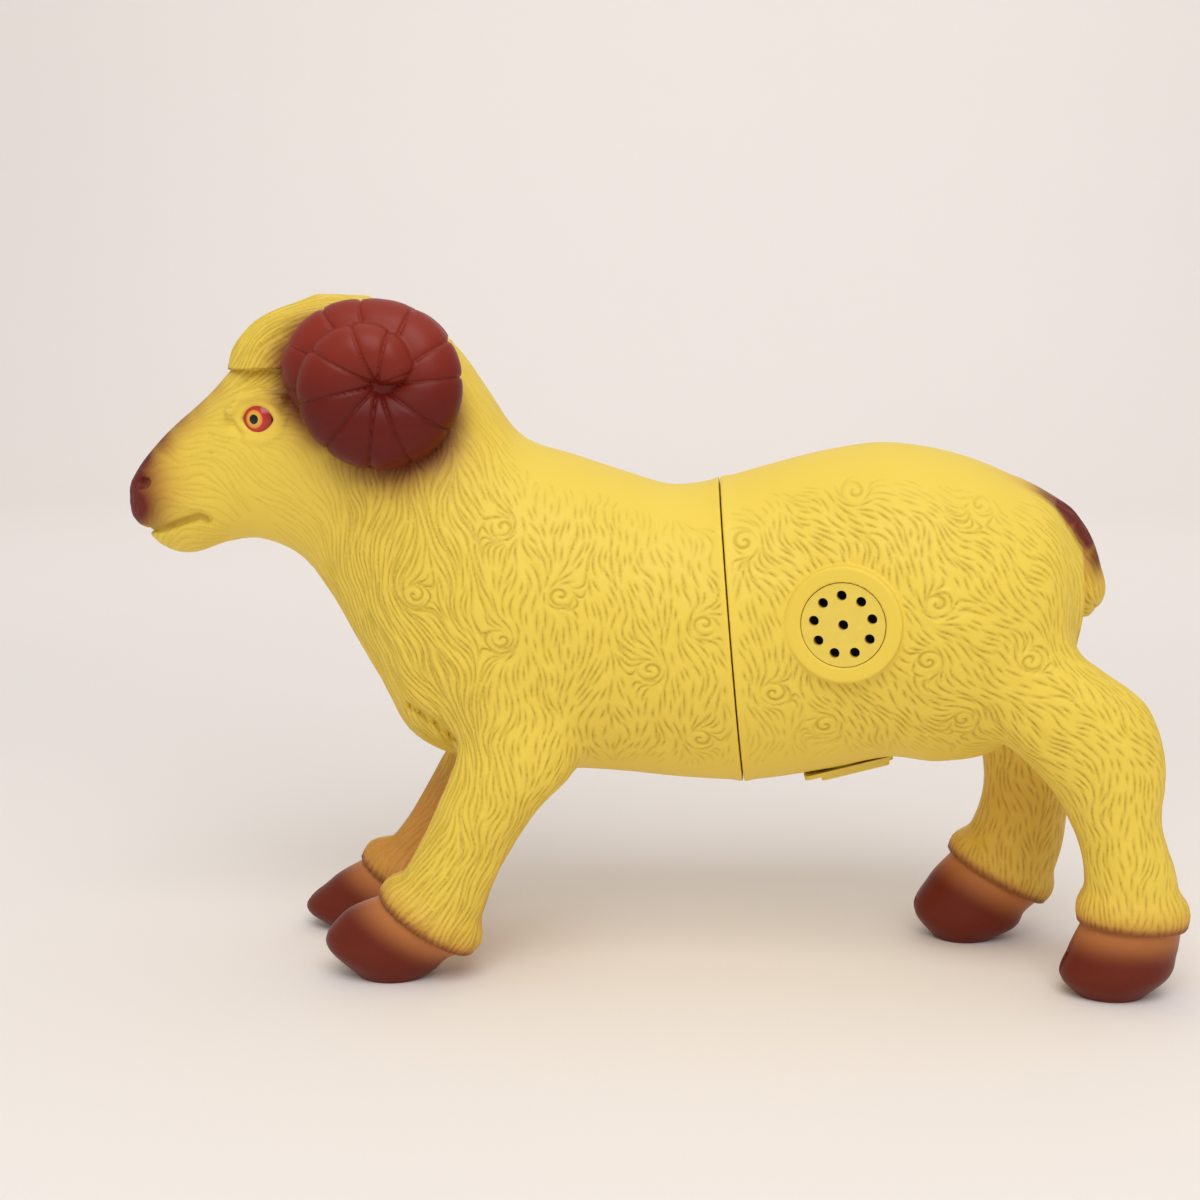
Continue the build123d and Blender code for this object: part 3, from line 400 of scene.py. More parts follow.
def lookup(lattice, place):
    """Values between the points of a lattice, which repeats beyond its ends."""
    whole = np.floor(place).astype(np.int32)
    part = (place - whole).astype(np.float32)
    total = 0.0
    dimensions = place.shape[1]
    for corner in np.ndindex(*(2,) * dimensions):
        weight = np.ones(len(place), np.float32)
        index = []
        for axis, step in enumerate(corner):
            weight *= part[:, axis] if step else 1 - part[:, axis]
            index.append((whole[:, axis] + step) % lattice.shape[axis])
        value = lattice[tuple(index)]
        total = total + value * weight.reshape((-1,) + (1,) * (value.ndim - 1))
    return total


def smooth_step(low, high, value):
    """0 below low, 1 above high and eased between them."""
    part = np.clip((value - low) / (high - low), 0, 1)
    return part * part * (3 - 2 * part)


def smooth_min(first, second, blend):
    """Union of two fields with a fillet."""
    part = np.clip(0.5 + 0.5 * (second - first) / blend, 0, 1)
    return second + (first - second) * part - blend * part * (1 - part)


def smooth_max(first, second, blend):
    """Common part of two fields with a rounded edge."""
    return -smooth_min(-first, -second, blend)


def ellipsoid(x, y, z, centre, radii):
    """Distance, nearly, to an ellipsoid."""
    axes = zip((x, y, z), centre, radii)
    reach = sum(((value - middle) / radius) ** 2 for value, middle, radius in axes)
    return (np.sqrt(reach) - 1) * min(radii)


def line_distance(x, z, points):
    """Distance in a plane to a line through points."""
    least = np.inf
    for start, end in zip(points, points[1:]):
        along = (end[0] - start[0], end[1] - start[1])
        squared_length = along[0] ** 2 + along[1] ** 2
        from_x = x - start[0]
        from_z = z - start[1]
        part = np.clip((from_x * along[0] + from_z * along[1]) / squared_length, 0, 1)
        least = np.minimum(least, np.hypot(from_x - part * along[0], from_z - part * along[1]))
    return least


# Forms through oval stations
def ease(rows, along, steps):
    """Rows eased through listed ones, with the given count of steps between two of them."""
    slope = np.gradient(rows, along, axis=0)
    eased = []
    for index in range(len(rows) - 1):
        span = along[index + 1] - along[index]
        for step in range(steps):
            part = step / steps
            rest = 1 - part
            eased.append(
                rows[index] * rest * rest * (1 + 2 * part) + rows[index + 1] * part * part * (3 - 2 * part)
                + slope[index] * span * part * rest * rest - slope[index + 1] * span * part * part * rest
            )
    return np.array(eased + [rows[-1]])


def form(stations, dome=0.0):
    """Closed mesh through oval stations. Its last end is domed."""
    rows = np.array([[*station[0], *station[1], station[2], station[3] if len(station) > 3 else 0.0]
                     for station in stations])
    middle = (rows[:, 0:2] + rows[:, 2:4]) / 2
    along = np.concatenate([[0.0], np.cumsum(np.linalg.norm(np.diff(middle, axis=0), axis=1))])
    rows = ease(rows, along, FORM_STEPS)
    middle = (rows[:, 0:2] + rows[:, 2:4]) / 2
    rise = (rows[:, 0:2] - rows[:, 2:4]) / 2
    width = rows[:, 4]
    side = rows[:, 5]
    if dome:
        end_normal = np.array([rise[-1, 1], -rise[-1, 0]]) / np.linalg.norm(rise[-1])
        if end_normal @ (middle[-1] - middle[-2]) < 0:
            end_normal = -end_normal
        turns = np.linspace(0, math.pi / 2, DOME_RINGS + 1)[1:, None]
        middle = np.concatenate([middle, middle[-1] + dome * np.sin(turns) * end_normal])
        rise = np.concatenate([rise, rise[-1] * np.cos(turns)])
        width = np.concatenate([width, width[-1] * np.cos(turns[:, 0])])
        side = np.concatenate([side, np.full(DOME_RINGS, side[-1])])
    turn = np.linspace(0, 2 * math.pi, RING_POINTS, endpoint=False)
    x = middle[:, :1] + rise[:, :1] * np.sin(turn)
    y = side[:, None] + width[:, None] * np.cos(turn)
    z = middle[:, 1:] + rise[:, 1:] * np.sin(turn)
    points = np.stack([x, y, z], axis=2).reshape(-1, 3)
    rings = len(middle)
    here = np.arange(RING_POINTS)
    after = np.roll(here, -1)
    quads = [np.stack([row * RING_POINTS + here, row * RING_POINTS + after,
                       (row + 1) * RING_POINTS + after, (row + 1) * RING_POINTS + here], axis=1)
             for row in range(rings - 1)]
    ends = np.array([points[:RING_POINTS].mean(axis=0), points[-RING_POINTS:].mean(axis=0)])
    for centre, first in ((0, 0), (1, (rings - 1) * RING_POINTS)):
        tip = np.full(RING_POINTS, len(points) + centre)
        quads.append(np.stack([first + here, first + after, tip, tip], axis=1))
    return np.concatenate([points, ends]), np.concatenate(quads)


def seam_distance(x, z):
    """Distance behind the seam's plane."""
    upper, lower, _ = SEAM
    rise = (upper[0] - lower[0], upper[1] - lower[1])
    length = math.hypot(*rise)
    return ((x - lower[0]) * rise[1] - (z - lower[1]) * rise[0]) / length


def seam_axis_distance(grid):
    """Distance from the axis of the waist."""
    (upper_x, upper_z), (lower_x, lower_z), _ = SEAM
    length = math.hypot(upper_x - lower_x, upper_z - lower_z)
    up = ((upper_x - lower_x) / length, (upper_z - lower_z) / length)
    rise = (grid.x - (upper_x + lower_x) / 2) * up[0] + (grid.z - (upper_z + lower_z) / 2) * up[1]
    return np.hypot(rise, grid.y)


# Left horn
horn_rows = np.array(HORN_COIL, float)
horn_table = ease(horn_rows, horn_rows[:, 0], FORM_STEPS)


def horn_field(x, y, z):
    """Distance, nearly, to the left horn."""
    across = np.hypot(x - HORN_CENTRE[0], z - HORN_CENTRE[1])
    angle = np.degrees(np.arctan2(z - HORN_CENTRE[1], HORN_CENTRE[0] - x))
    field = ellipsoid(x, y, z, *HORN_CORE)
    for turn in (0, 360):
        along = angle + turn
        inside = np.clip(along, horn_table[0, 0], horn_table[-1, 0])
        outer, width, side, depth = (np.interp(inside, horn_table[:, 0], horn_table[:, column])
                                     for column in range(1, 5))
        beyond = np.radians(np.abs(along - inside)) * across
        reach = np.sqrt(((across - outer + width) / width) ** 2 + ((-y - side) / depth) ** 2
                        + (beyond / width) ** 2)
        coil = (reach - 1) * np.minimum(width, depth)
        groove = np.searchsorted(HORN_GROOVES, along)
        before = np.take(HORN_ENDS[:1] + HORN_GROOVES, groove)
        after = np.take(HORN_GROOVES + HORN_ENDS[1:], groove)
        rib = np.abs(2 * (along - before) / (after - before) - 1)
        gap = np.radians(np.minimum(along - before, after - along)) * across
        cut = HORN_RIB_CUT * np.exp(-((gap / HORN_CUT_WIDTH) ** 2))
        coil = coil + HORN_RIB_DOME * rib**HORN_RIB_POWER + cut
        field = smooth_min(field, coil, HORN_BLEND)
    return field


def horns_field(x, y, z):
    """Distance, nearly, to the nearer horn."""
    return np.where(y < 0, horn_field(x, y, z), horn_field(x + horn_stagger, -y, z))


# Wool
noise_lattice = np.random.default_rng(NOISE_SEED).random((NOISE_POINTS,) * 3).astype(np.float32)


def winding_curls():
    """Middle of each curl in the side view, and which way it winds."""
    return [(curl_x, curl_z, 1 if index % 2 else -1) for index, (curl_x, curl_z) in enumerate(CURLS)]


def hair_map():
    """Direction and strength of the strokes over the side view."""
    axes = [low + HAIR_MAP_SPACING * np.arange(int(size / HAIR_MAP_SPACING))
            for low, size in zip(HAIR_MAP_LOW, HAIR_MAP_SIZE)]
    x, z = np.meshgrid(*axes, indexing="ij")
    run = np.zeros(x.shape + (2,))
    strength = np.zeros(x.shape)
    total = np.full(x.shape, LEAST)
    for hair_x, hair_z, angle, power in HAIR:
        weight = np.exp(-((x - hair_x) ** 2 + (z - hair_z) ** 2) / (2 * HAIR_REACH**2)) + LEAST
        run[..., 0] += weight * math.cos(math.radians(angle))
        run[..., 1] += weight * math.sin(math.radians(angle))
        strength += weight * power
        total += weight
    strength /= total
    place = np.stack([x.ravel(), np.zeros(x.size), z.ravel()], axis=1) / WAVE_SIZE
    wave = WAVE_TURN * (2 * lookup(noise_lattice, place).reshape(x.shape) - 1)
    turned = np.stack([run[..., 0] * np.cos(wave) - run[..., 1] * np.sin(wave),
                       run[..., 0] * np.sin(wave) + run[..., 1] * np.cos(wave)], axis=2)
    turned /= np.linalg.norm(turned, axis=2, keepdims=True) + LEAST
    for curl_x, curl_z, sense in winding_curls():
        out = np.stack([x - curl_x, z - curl_z], axis=2)
        reach = np.linalg.norm(out, axis=2, keepdims=True) + LEAST_LENGTH
        round_it = sense * np.stack([-out[..., 1], out[..., 0]], axis=2) / reach
        pull = np.exp(-((reach / (CURL_PULL * CURL_RADIUS)) ** 2))
        turned = turned * (1 - pull) + (round_it - CURL_DRAW * out / reach) * pull
    return np.concatenate([turned, strength[..., None]], axis=2).astype(np.float32)


hair = hair_map()


def hair_at(points):
    """Direction in space and strength of the strokes at points."""
    place = (points[:, [0, 2]] - np.array(HAIR_MAP_LOW)) / HAIR_MAP_SPACING
    found = lookup(hair, place)
    direction = np.stack([found[:, 0], np.zeros(len(points)), found[:, 1]], axis=1)
    return direction, found[:, 2]


def locks(points, normals):
    """Noise smeared along the run of the hair, scaled to a spread of 1."""
    total = lookup(noise_lattice, points / LOCK_SIZE)
    for sense in (1, -1):
        place = points.copy()
        for _ in range(LOCK_STEPS):
            place += sense * LOCK_STEP * along_skin(place, normals)
            total += lookup(noise_lattice, place / LOCK_SIZE)
    return (total - total.mean()) / total.std()


def curl_cut(points):
    """Spiral cuts of the curls, and how far each point belongs to a curl."""
    cut = np.zeros(len(points))
    belongs = np.zeros(len(points))
    chance = np.random.default_rng(CURL_SEED)
    for curl_x, curl_z, sense in winding_curls():
        radius = CURL_RADIUS * chance.uniform(*CURL_SIZES)
        start = chance.uniform(0, 2 * math.pi)
        out_x = points[:, 0] - curl_x
        out_z = (points[:, 2] - curl_z) / CURL_SQUASH
        reach = np.hypot(out_x, out_z)
        phase = 2 * math.pi * reach / CURL_PITCH - sense * np.arctan2(out_z, out_x) + start
        inside = 1 - smooth_step(CURL_FADE * radius, radius, reach)
        cut = np.maximum(cut, inside * smooth_step(*CURL_CUT, np.cos(phase)))
        belongs = np.maximum(belongs, inside)
    return cut, belongs


def along_skin(points, normals):
    """Unit run of the hair along a skin."""
    direction, _ = hair_at(points)
    direction = direction - normals * np.sum(direction * normals, axis=1, keepdims=True)
    return direction / (np.linalg.norm(direction, axis=1, keepdims=True) + LEAST_LENGTH)


def field_normals(grid, field, points):
    """Unit slope of a field at points."""
    place = (points - grid.low) / grid.spacing
    slope = np.stack([lookup(field, place + step) - lookup(field, place - step)
                      for step in np.eye(3)], axis=1)
    return slope / (np.linalg.norm(slope, axis=1, keepdims=True) + LEAST_LENGTH)


def stroke_seeds(points, direction, strength):
    """Middles of strokes, spread so that strokes lie side by side and follow one another."""
    chance = np.random.default_rng(STROKE_SEED)
    tries = chance.permutation(len(points))[:STROKE_TRIES]
    tries = tries[strength[tries] > chance.uniform(WOOL_LEAST, WOOL_FULL, len(tries))]
    cells = np.floor(points[tries] / STROKE_LENGTH).astype(int).tolist()
    around = list(np.ndindex(3, 3, 3))
    taken = {}
    seeds = []
    for index, (cell_x, cell_y, cell_z) in zip(tries.tolist(), cells):
        near = [other for step_x, step_y, step_z in around
                for other in taken.get((cell_x + step_x, cell_y + step_y, cell_z + step_z), ())]
        away = points[near] - points[index]
        along = away @ direction[index]
        across = np.sum(away**2, axis=1) - along**2
        if np.all((along / STROKE_LENGTH) ** 2 + across / STROKE_PITCH**2 > 1):
            taken.setdefault((cell_x + 1, cell_y + 1, cell_z + 1), []).append(index)
            seeds.append(index)
    return seeds


def stroke_path(middles, grid, outer):
    """Points along strokes through their middles, and how deep the strokes are there."""
    chance = np.random.default_rng(LENGTH_SEED)
    length = STROKE_LENGTH * chance.uniform(1 - STROKE_SPREAD, 1 + STROKE_SPREAD, len(middles))
    length = length * (1 + NECK_STROKE * smooth_step(*NECK, middles[:, 0]))
    steps = int(length.max() / 2 / STROKE_STEP) + 1
    places = []
    depths = []
    for sense in (1, -1):
        place = middles.copy()
        for step in range(steps):
            places.append(place)
            depths.append(np.sqrt(np.clip(1 - 2 * step * STROKE_STEP / length, 0, 1)))
            normals = field_normals(grid, outer, place)
            place = place + sense * STROKE_STEP * along_skin(place, normals)
            place = place - normals * lookup(outer, (place - grid.low) / grid.spacing)[:, None]
    places = np.concatenate(places)
    depths = np.concatenate(depths)
    return places[depths > 0], depths[depths > 0]


def nearest(samples, points):
    """Index of the nearest sample and the distance to it, for each point."""
    tree = KDTree(len(samples))
    for index, sample in enumerate(samples.tolist()):
        tree.insert(sample, index)
    tree.balance()
    found = np.array([tree.find(point)[1:] for point in points.tolist()])
    return found[:, 0].astype(int), found[:, 1]


def engrave(points, normals, plain, grid, outer):
    """Depth of the wool's cuts at points of a skin, and how much painted shade darkens them there, partly
    a darker wash. Plain areas get none.
    """
    _, strength = hair_at(points)
    curl, curled = curl_cut(points)
    sideways = smooth_step(*CURL_FACING, np.abs(normals[:, 1])) * (1 - plain)
    curl = curl * sideways
    strength = strength * (1 - plain) * (1 - curled * sideways)
    woolly = np.flatnonzero(strength > WOOL_LEAST)
    place = points[woolly]
    seeds = stroke_seeds(place, along_skin(place, normals[woolly]), strength[woolly])
    samples, depths = stroke_path(place[seeds], grid, outer)
    index, away = nearest(samples, place)
    growth = strength[woolly]
    share = WOOL_FAINT + (1 - WOOL_FAINT) * smooth_step(WOOL_LEAST, WOOL_FULL, growth)
    power = depths[index] * np.maximum(growth, 1) ** 2 * share
    away = away / STROKE_HALF_WIDTH
    cut = np.zeros(len(points))
    depth = np.zeros(len(points))
    cut[woolly] = power * np.exp(-(away**2))
    lip = STROKE_LIP * power * np.exp(-((away - STROKE_LIP_PLACE) ** 2))
    depth[woolly] = STROKE_DEPTH * (cut[woolly] - lip)
    relief = LOCK_DEPTH * locks(points, normals) * np.clip(strength, 0, 1)
    depth = np.maximum(depth, STROKE_DEPTH * curl) - relief
    return depth, np.clip(np.maximum(cut, CURL_SHADE * curl), 0, 1)


# Meshes
def mesh_normals(points, quads):
    """Outward unit normals at the points of a mesh."""
    corners = points[quads]
    diagonal = np.cross(corners[:, 2] - corners[:, 0], corners[:, 3] - corners[:, 1])
    normals = np.zeros_like(points)
    for corner in range(4):
        for axis in range(3):
            normals[:, axis] += np.bincount(quads[:, corner], diagonal[:, axis], len(points))
    return normals / (np.linalg.norm(normals, axis=1, keepdims=True) + LEAST)


def outward(points, quads):
    """Quads turned so that their normals point outwards."""
    corners = points[quads]
    volume = np.sum(np.cross(corners[:, 0], corners[:, 1]) * corners[:, 2])
    volume += np.sum(np.cross(corners[:, 0], corners[:, 2]) * corners[:, 3])
    return quads if volume > 0 else quads[:, ::-1]


def add_mesh(name, points, quads, values, triangles=None):
    """Smooth mesh object with values kept at its points, thinned to a count of triangles."""
    mesh = bpy.data.meshes.new(name)
    mesh.from_pydata((points * MM).tolist(), [], quads.tolist())
    for label, value in values.items():
        layer = mesh.attributes.new(label, "FLOAT", "POINT")
        layer.data.foreach_set("value", np.asarray(value, np.float32))
    piece = bpy.data.objects.new(name, mesh)
    bpy.context.scene.collection.objects.link(piece)
    if triangles and 2 * len(quads) > triangles:
        thin = piece.modifiers.new("thin", "DECIMATE")
        thin.ratio = triangles / (2 * len(quads))
        bpy.context.view_layer.update()
        graph = bpy.context.evaluated_depsgraph_get()
        thinned = bpy.data.meshes.new_from_object(piece.evaluated_get(graph))
        piece.modifiers.clear()
        piece.data = thinned
        thinned.name = name
    piece.data.shade_smooth()
    return piece


# Body halves
def seam_lip(behind):
    """How far the skin stands up beside the seam."""
    return SEAM_LIP * np.exp(-((behind / SEAM_LIP_WIDTH) ** 2))


def hem_roll(leg):
    """Closed tube round the lower edge of a leg."""
    front, back, width, side = LEGS[leg][-1]
    rise = np.array([front[0] - back[0], 0.0, front[1] - back[1]]) / 2
    length = np.linalg.norm(rise)
    across = rise / length
    upward = np.array([-across[2], 0.0, across[0]])
    upward = upward * np.sign(upward[2])
    sideways = np.array([0.0, 1.0, 0.0])
    turn = np.linspace(0, 2 * math.pi, RING_POINTS, endpoint=False)[:, None, None]
    tube = np.linspace(0, 2 * math.pi, TUBE_POINTS, endpoint=False)[None, :, None]
    inset = HEM_ROLL - HEM_OUT
    middle = np.array([(front[0] + back[0]) / 2, side, (front[1] + back[1]) / 2]) + upward * HEM_RISE
    line = middle + across * (length - inset) * np.sin(turn) + sideways * (width - inset) * np.cos(turn)
    out = across * np.sin(turn) / length + sideways * np.cos(turn) / width
    out = out / np.linalg.norm(out, axis=2, keepdims=True)
    points = line + HEM_ROLL * (np.cos(tube) * out + np.sin(tube) * upward)
    here = np.arange(RING_POINTS * TUBE_POINTS).reshape(RING_POINTS, TUBE_POINTS)
    quads = [here, np.roll(here, -1, 0), np.roll(here, (-1, -1), (0, 1)), np.roll(here, -1, 1)]
    points = points.reshape(-1, 3)
    return points, outward(points, np.stack([corner.ravel() for corner in quads], axis=1))


def add_leg(grid, outer, leg):
    """Body with a leg and the roll at its lower edge."""
    outer = smooth_min(outer, grid.distance(*form(LEGS[leg])), LEG_BLEND)
    return smooth_min(outer, grid.distance(*hem_roll(leg)), HEM_BLEND)


def half_body(box, stations, dome, legs):
    """Grid, distance behind the seam, body form, and outer form with the seam's lip and the legs."""
    grid = Grid(*box, SKIN_SPACING)
    body = grid.distance(*form(stations, dome))
    behind = seam_distance(grid.x, grid.z)
    outer = body - seam_lip(behind)
    for leg in legs:
        outer = add_leg(grid, outer, leg)
    return grid, behind, body, outer


def front_fields():
    """Grid, outer form and hollow form of the front half."""
    grid, behind, body, outer = half_body(FRONT_BOX, FRONT_BODY, NOSE_DOME, FRONT_LEGS)
    fold = np.maximum(line_distance(grid.x, grid.z, FOLD), -outer - FOLD_DEPTH)
    outer = smooth_max(outer, FOLD_WIDTH - fold, FOLD_BLEND)
    outer = sculpt_head(grid, outer)
    outer = smooth_max(outer, behind + SEAM_GAP, SEAM_EDGE)
    hollow = np.maximum(body + WALL, behind + SEAM_GAP + WALL)
    axis = seam_axis_distance(grid)
    hole = np.maximum(axis - COLLAR_RADIUS - COLLAR_GAP, -behind - COLLAR_REACH)
    return grid, outer, np.minimum(hollow, hole)


def eye_axes(x, y, z):
    """Distances along, out of and above the nearer eye's rim."""
    turn = math.radians(EYE_TURN)
    from_eye = x - EYE_CENTRE[0]
    from_side = np.abs(y) - EYE_CENTRE[1]
    along = from_eye * math.cos(turn) + from_side * math.sin(turn) + np.where(y > 0, eye_stagger, 0)
    out = from_side * math.cos(turn) - from_eye * math.sin(turn)
    return along, out, z - EYE_CENTRE[2]


def sculpt_head(grid, outer):
    """Forelock, eye sockets, lids, nostrils and mouth."""
    x, y, z = grid.x, np.abs(grid.y), grid.z
    outer = smooth_min(outer, grid.distance(*form(FORELOCK, FORELOCK_DOME)), FORELOCK_BLEND)
    along, out, up = eye_axes(grid.x, grid.y, grid.z)
    socket = ellipsoid(along, out, up, *SOCKET)
    outer = smooth_max(outer, -socket, SOCKET_BLEND)
    for line, thickness, blend in (
        (BROW, BROW_THICKNESS, BROW_BLEND),
        (UNDER_EYE, UNDER_EYE_THICKNESS, UNDER_EYE_BLEND),
    ):
        outer = smooth_min(outer, np.hypot(line_distance(along, up, line), out) - thickness, blend)
    opening = np.maximum(*(np.hypot(along, up - height) - radius for height, radius in LID_ARCS))
    lids = np.hypot(opening - LID_THICKNESS, out + LID_SINK) - LID_THICKNESS
    outer = smooth_min(outer, lids, LID_BLEND)
    outer = smooth_max(outer, -np.maximum(opening, -out - LID_HOLE_DEPTH), LID_EDGE)
    outer = smooth_max(outer, -ellipsoid(x, y, z, *NOSTRIL), NOSTRIL_BLEND)
    outer = smooth_max(outer, -ellipsoid(x, y, z, *CHIN_CUT), CHIN_BLEND)
    mouth = np.maximum(line_distance(x, z, MOUTH) - MOUTH_HALF_WIDTH, -outer - MOUTH_DEPTH)
    return smooth_max(outer, -mouth, MOUTH_BLEND)


def boss_axes(grid):
    """Distance out of the boss's face and distance from its axis."""
    turn = math.radians(BOSS_TURN)
    x = grid.x - BOSS_CENTRE[0]
    y = grid.y - BOSS_CENTRE[1]
    out = -math.sin(turn) * x - math.cos(turn) * y
    across = np.hypot(math.cos(turn) * x - math.sin(turn) * y, grid.z - BOSS_CENTRE[2])
    return out, across


def rear_fields():
    """Grid, outer form and hollow form of the rear half."""
    grid, behind, body, outer = half_body(REAR_BOX, REAR_BODY, RUMP_DOME, REAR_LEGS)
    outer = smooth_min(outer, grid.distance(*form(TAIL, TAIL_DOME)), TAIL_BLEND)
    out, across = boss_axes(grid)
    boss = smooth_max(across - BOSS_RADIUS, np.maximum(out, -out - BOSS_DEPTH), BOSS_EDGE)
    outer = smooth_min(outer, boss, BOSS_BLEND)
    outer = smooth_max(outer, -behind, SEAM_EDGE)
    axis = seam_axis_distance(grid)
    collar = np.maximum(axis - COLLAR_RADIUS, np.maximum(behind - WALL, -behind - COLLAR_REACH))
    outer = np.minimum(outer, collar)
    hollow = np.maximum(body + WALL, WALL - behind)
    hollow = np.minimum(hollow, np.maximum(axis - COLLAR_RADIUS + WALL, behind - WALL))
    hollow = np.maximum(hollow, -np.maximum(across - BOSS_RADIUS, -out - BOSS_DEPTH))
    hollow = np.minimum(hollow, np.maximum(across - BOSS_HOLE, -out - BOSS_DEPTH - WALL))
    hollow = np.minimum(hollow, np.maximum(across - CUP_HOLE, np.abs(out + 2 * BOSS_DEPTH) - BOSS_DEPTH))
    return grid, outer, np.minimum(hollow, tray_field(grid))


def tray_field(grid):
    """Room for the battery tray's frame and well."""
    low, high = (np.array(corner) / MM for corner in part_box("battery_tray"))
    tilt = math.radians(TRAY_TILT)
    along = (grid.x - TRAY_CENTRE[0]) * math.cos(tilt) + (grid.z - TRAY_CENTRE[1]) * math.sin(tilt)
    out = (grid.x - TRAY_CENTRE[0]) * math.sin(tilt) - (grid.z - TRAY_CENTRE[1]) * math.cos(tilt)
    width = (high[1] - low[1]) / 2 + TRAY_GAP
    frame_room = np.maximum(np.abs(along + TRAY_SHIFT) - TRAY_HALF_LENGTH, np.abs(grid.y) - width)
    frame_room = np.maximum(frame_room, -out - TRAY_RECESS)
    well = np.maximum(np.abs(along) - WELL_HALF_LENGTH, np.abs(grid.y) - WELL_HALF_WIDTH)
    return np.minimum(frame_room, np.maximum(well, -out - WELL_DEPTH))


def half_skin(name, fields_of, plain_of, paint_of):
    """Engraved hollow skin of a body half, from functions that give its fields, plain areas and paint."""
    grid, outer, hollow = fields_of()
    points, quads = grid.surface(np.maximum(outer, -hollow))
    quads = outward(points, quads)
    normals = mesh_normals(points, quads)
    inner = lookup(outer, (points - grid.low) / grid.spacing) < -INNER_DEPTH
    plain = np.where(inner, 1.0, plain_of(points, normals))
    depth, cut = engrave(points, normals, plain, grid, outer)
    # The cut value is painted shade in the strokes and curls, partly a darker wash.
    values = {"cut": cut, **paint_of(points, normals)}
    points = points - normals * depth[:, None]
    return add_mesh(name, points, quads, values, SKIN_TRIANGLES)


# Paint sprayed on the halves, with painted shade on the far front leg's inner face and along the mouth
LEG_PAINT_TOP = 70.0
LEG_PAINT_FULL = 45.0
LEG_PAINT_SIDES = 1.5  # how far it reaches to a leg's sides, over the leg's half width
HEM_DARK = 0.7
HEM_DARK_WIDTH = 1.7
HEM_PAINT = 5.0  # how far the hooves' paint is sprayed up the legs
INNER_FACING = (-0.6, 0.3)  # slope to the ram's middle where a leg's inner face starts and is full
# Orange sprayed on each leg's inner face; front_right's higher share also paints the shade that falls on
# that far leg.
INNER_SPRAY_AND_SHADE = {"front_left": 0.6, "front_right": 0.9, "rear_left": 0.5, "rear_right": 0.35}


def hem_distance(points, leg):
    """Distance from the plane between a leg and its hoof."""
    front, back, _, _ = LEGS[leg][-1]
    return np.abs((points[:, 0] - front[0]) * (back[1] - front[1])
                  - (points[:, 2] - front[1]) * (back[0] - front[0])) / math.dist(front, back)


def leg_paint(points, normals, legs):
    """Haze and dark paint on the wool above the hooves and on the inner faces of the legs; the far front
    leg's stronger inner orange is partly painted shade.
    """
    haze = np.zeros(len(points))
    dark = np.zeros(len(points))
    for leg in legs:
        *_, width, side = LEGS[leg][-1]
        above = hem_distance(points, leg)
        near = (np.abs(points[:, 1] - side) < LEG_PAINT_SIDES * width) & (points[:, 2] < LEG_PAINT_TOP)
        inner = smooth_step(*INNER_FACING, -normals[:, 1] * np.sign(side))
        inner = inner * smooth_step(LEG_PAINT_TOP, LEG_PAINT_FULL, points[:, 2])
        # Inner orange: sprayed paint, and on the far front leg partly painted shade.
        haze = np.maximum(haze, near * np.maximum(np.exp(-above / HEM_PAINT), INNER_SPRAY_AND_SHADE[leg] * inner))
        dark = np.maximum(dark, near * HEM_DARK * np.exp(-((above / HEM_DARK_WIDTH) ** 2)))
    return haze, dark


def spots(points, places):
    """Soft round spots of paint in the side view: X, Z, radius and strength."""
    paint = np.zeros(len(points))
    for spot_x, spot_z, radius, power in places:
        reach = ((points[:, 0] - spot_x) ** 2 + (points[:, 2] - spot_z) ** 2) / radius**2
        paint = np.maximum(paint, np.minimum(power * np.exp(-reach), 1))
    return paint


NOSE_SPOTS = [(-157, 148, 9, 1.25), (-156, 140, 9.5, 1.25), (-154.5, 154, 7, 1.2), (-149, 160.5, 6, 0.9),
              (-143, 166, 5, 0.65), (-137, 171, 4.5, 0.4), (-131, 176, 4, 0.2)]
LIP_HEIGHT = 133.0
LIP_FADE = 1.5
NOSE_HAZE = [(-153, 147, 12, 0.9), (-148, 160, 8, 0.7), (-139, 168, 7, 0.5), (-130, 175, 6, 0.3)]
HORN_PAINT = 5.0  # how far the horns' paint is sprayed past them
HORN_BROWN = 0.9
HORN_HAZE = 0.8
EYE_CLEAR = (5.5, 7.5)  # distances from an eye between which the brown paint starts
TAIL_HAZE = [(120, 140, 14, 0.8), (130, 127, 10, 0.6)]
TAIL_FACING = (0.05, 0.7)  # slope up and back where the tail's paint starts and is full
TAIL_SIDES = (8, 14)  # distances to the side between which it fades
TAIL_SPOTS = [(118, 144, 6, 0.8), (123, 140.5, 6.5, 1.4), (128, 134, 6.5, 1.4), (132, 127, 5.5, 0.9)]


def front_plain(points, normals):
    """Where the front half has no strokes."""
    behind = seam_distance(points[:, 0], points[:, 2])
    plain = smooth_step(-SEAM_PLAIN[1], -SEAM_PLAIN[0], behind)
    back = smooth_step(*BACK_PLAIN, normals[:, 2]) * smooth_step(*FRONT_BACK, points[:, 0])
    belly = smooth_step(*BELLY_PLAIN, -normals[:, 2]) * smooth_step(*FRONT_BELLY, points[:, 2])
    along, _, up = eye_axes(*points.T)
    lid = (1 - smooth_step(*LID_PLAIN, np.hypot(along, up))) * (np.abs(points[:, 1]) > LID_SIDE)
    return np.maximum.reduce([plain, back, belly, lid])


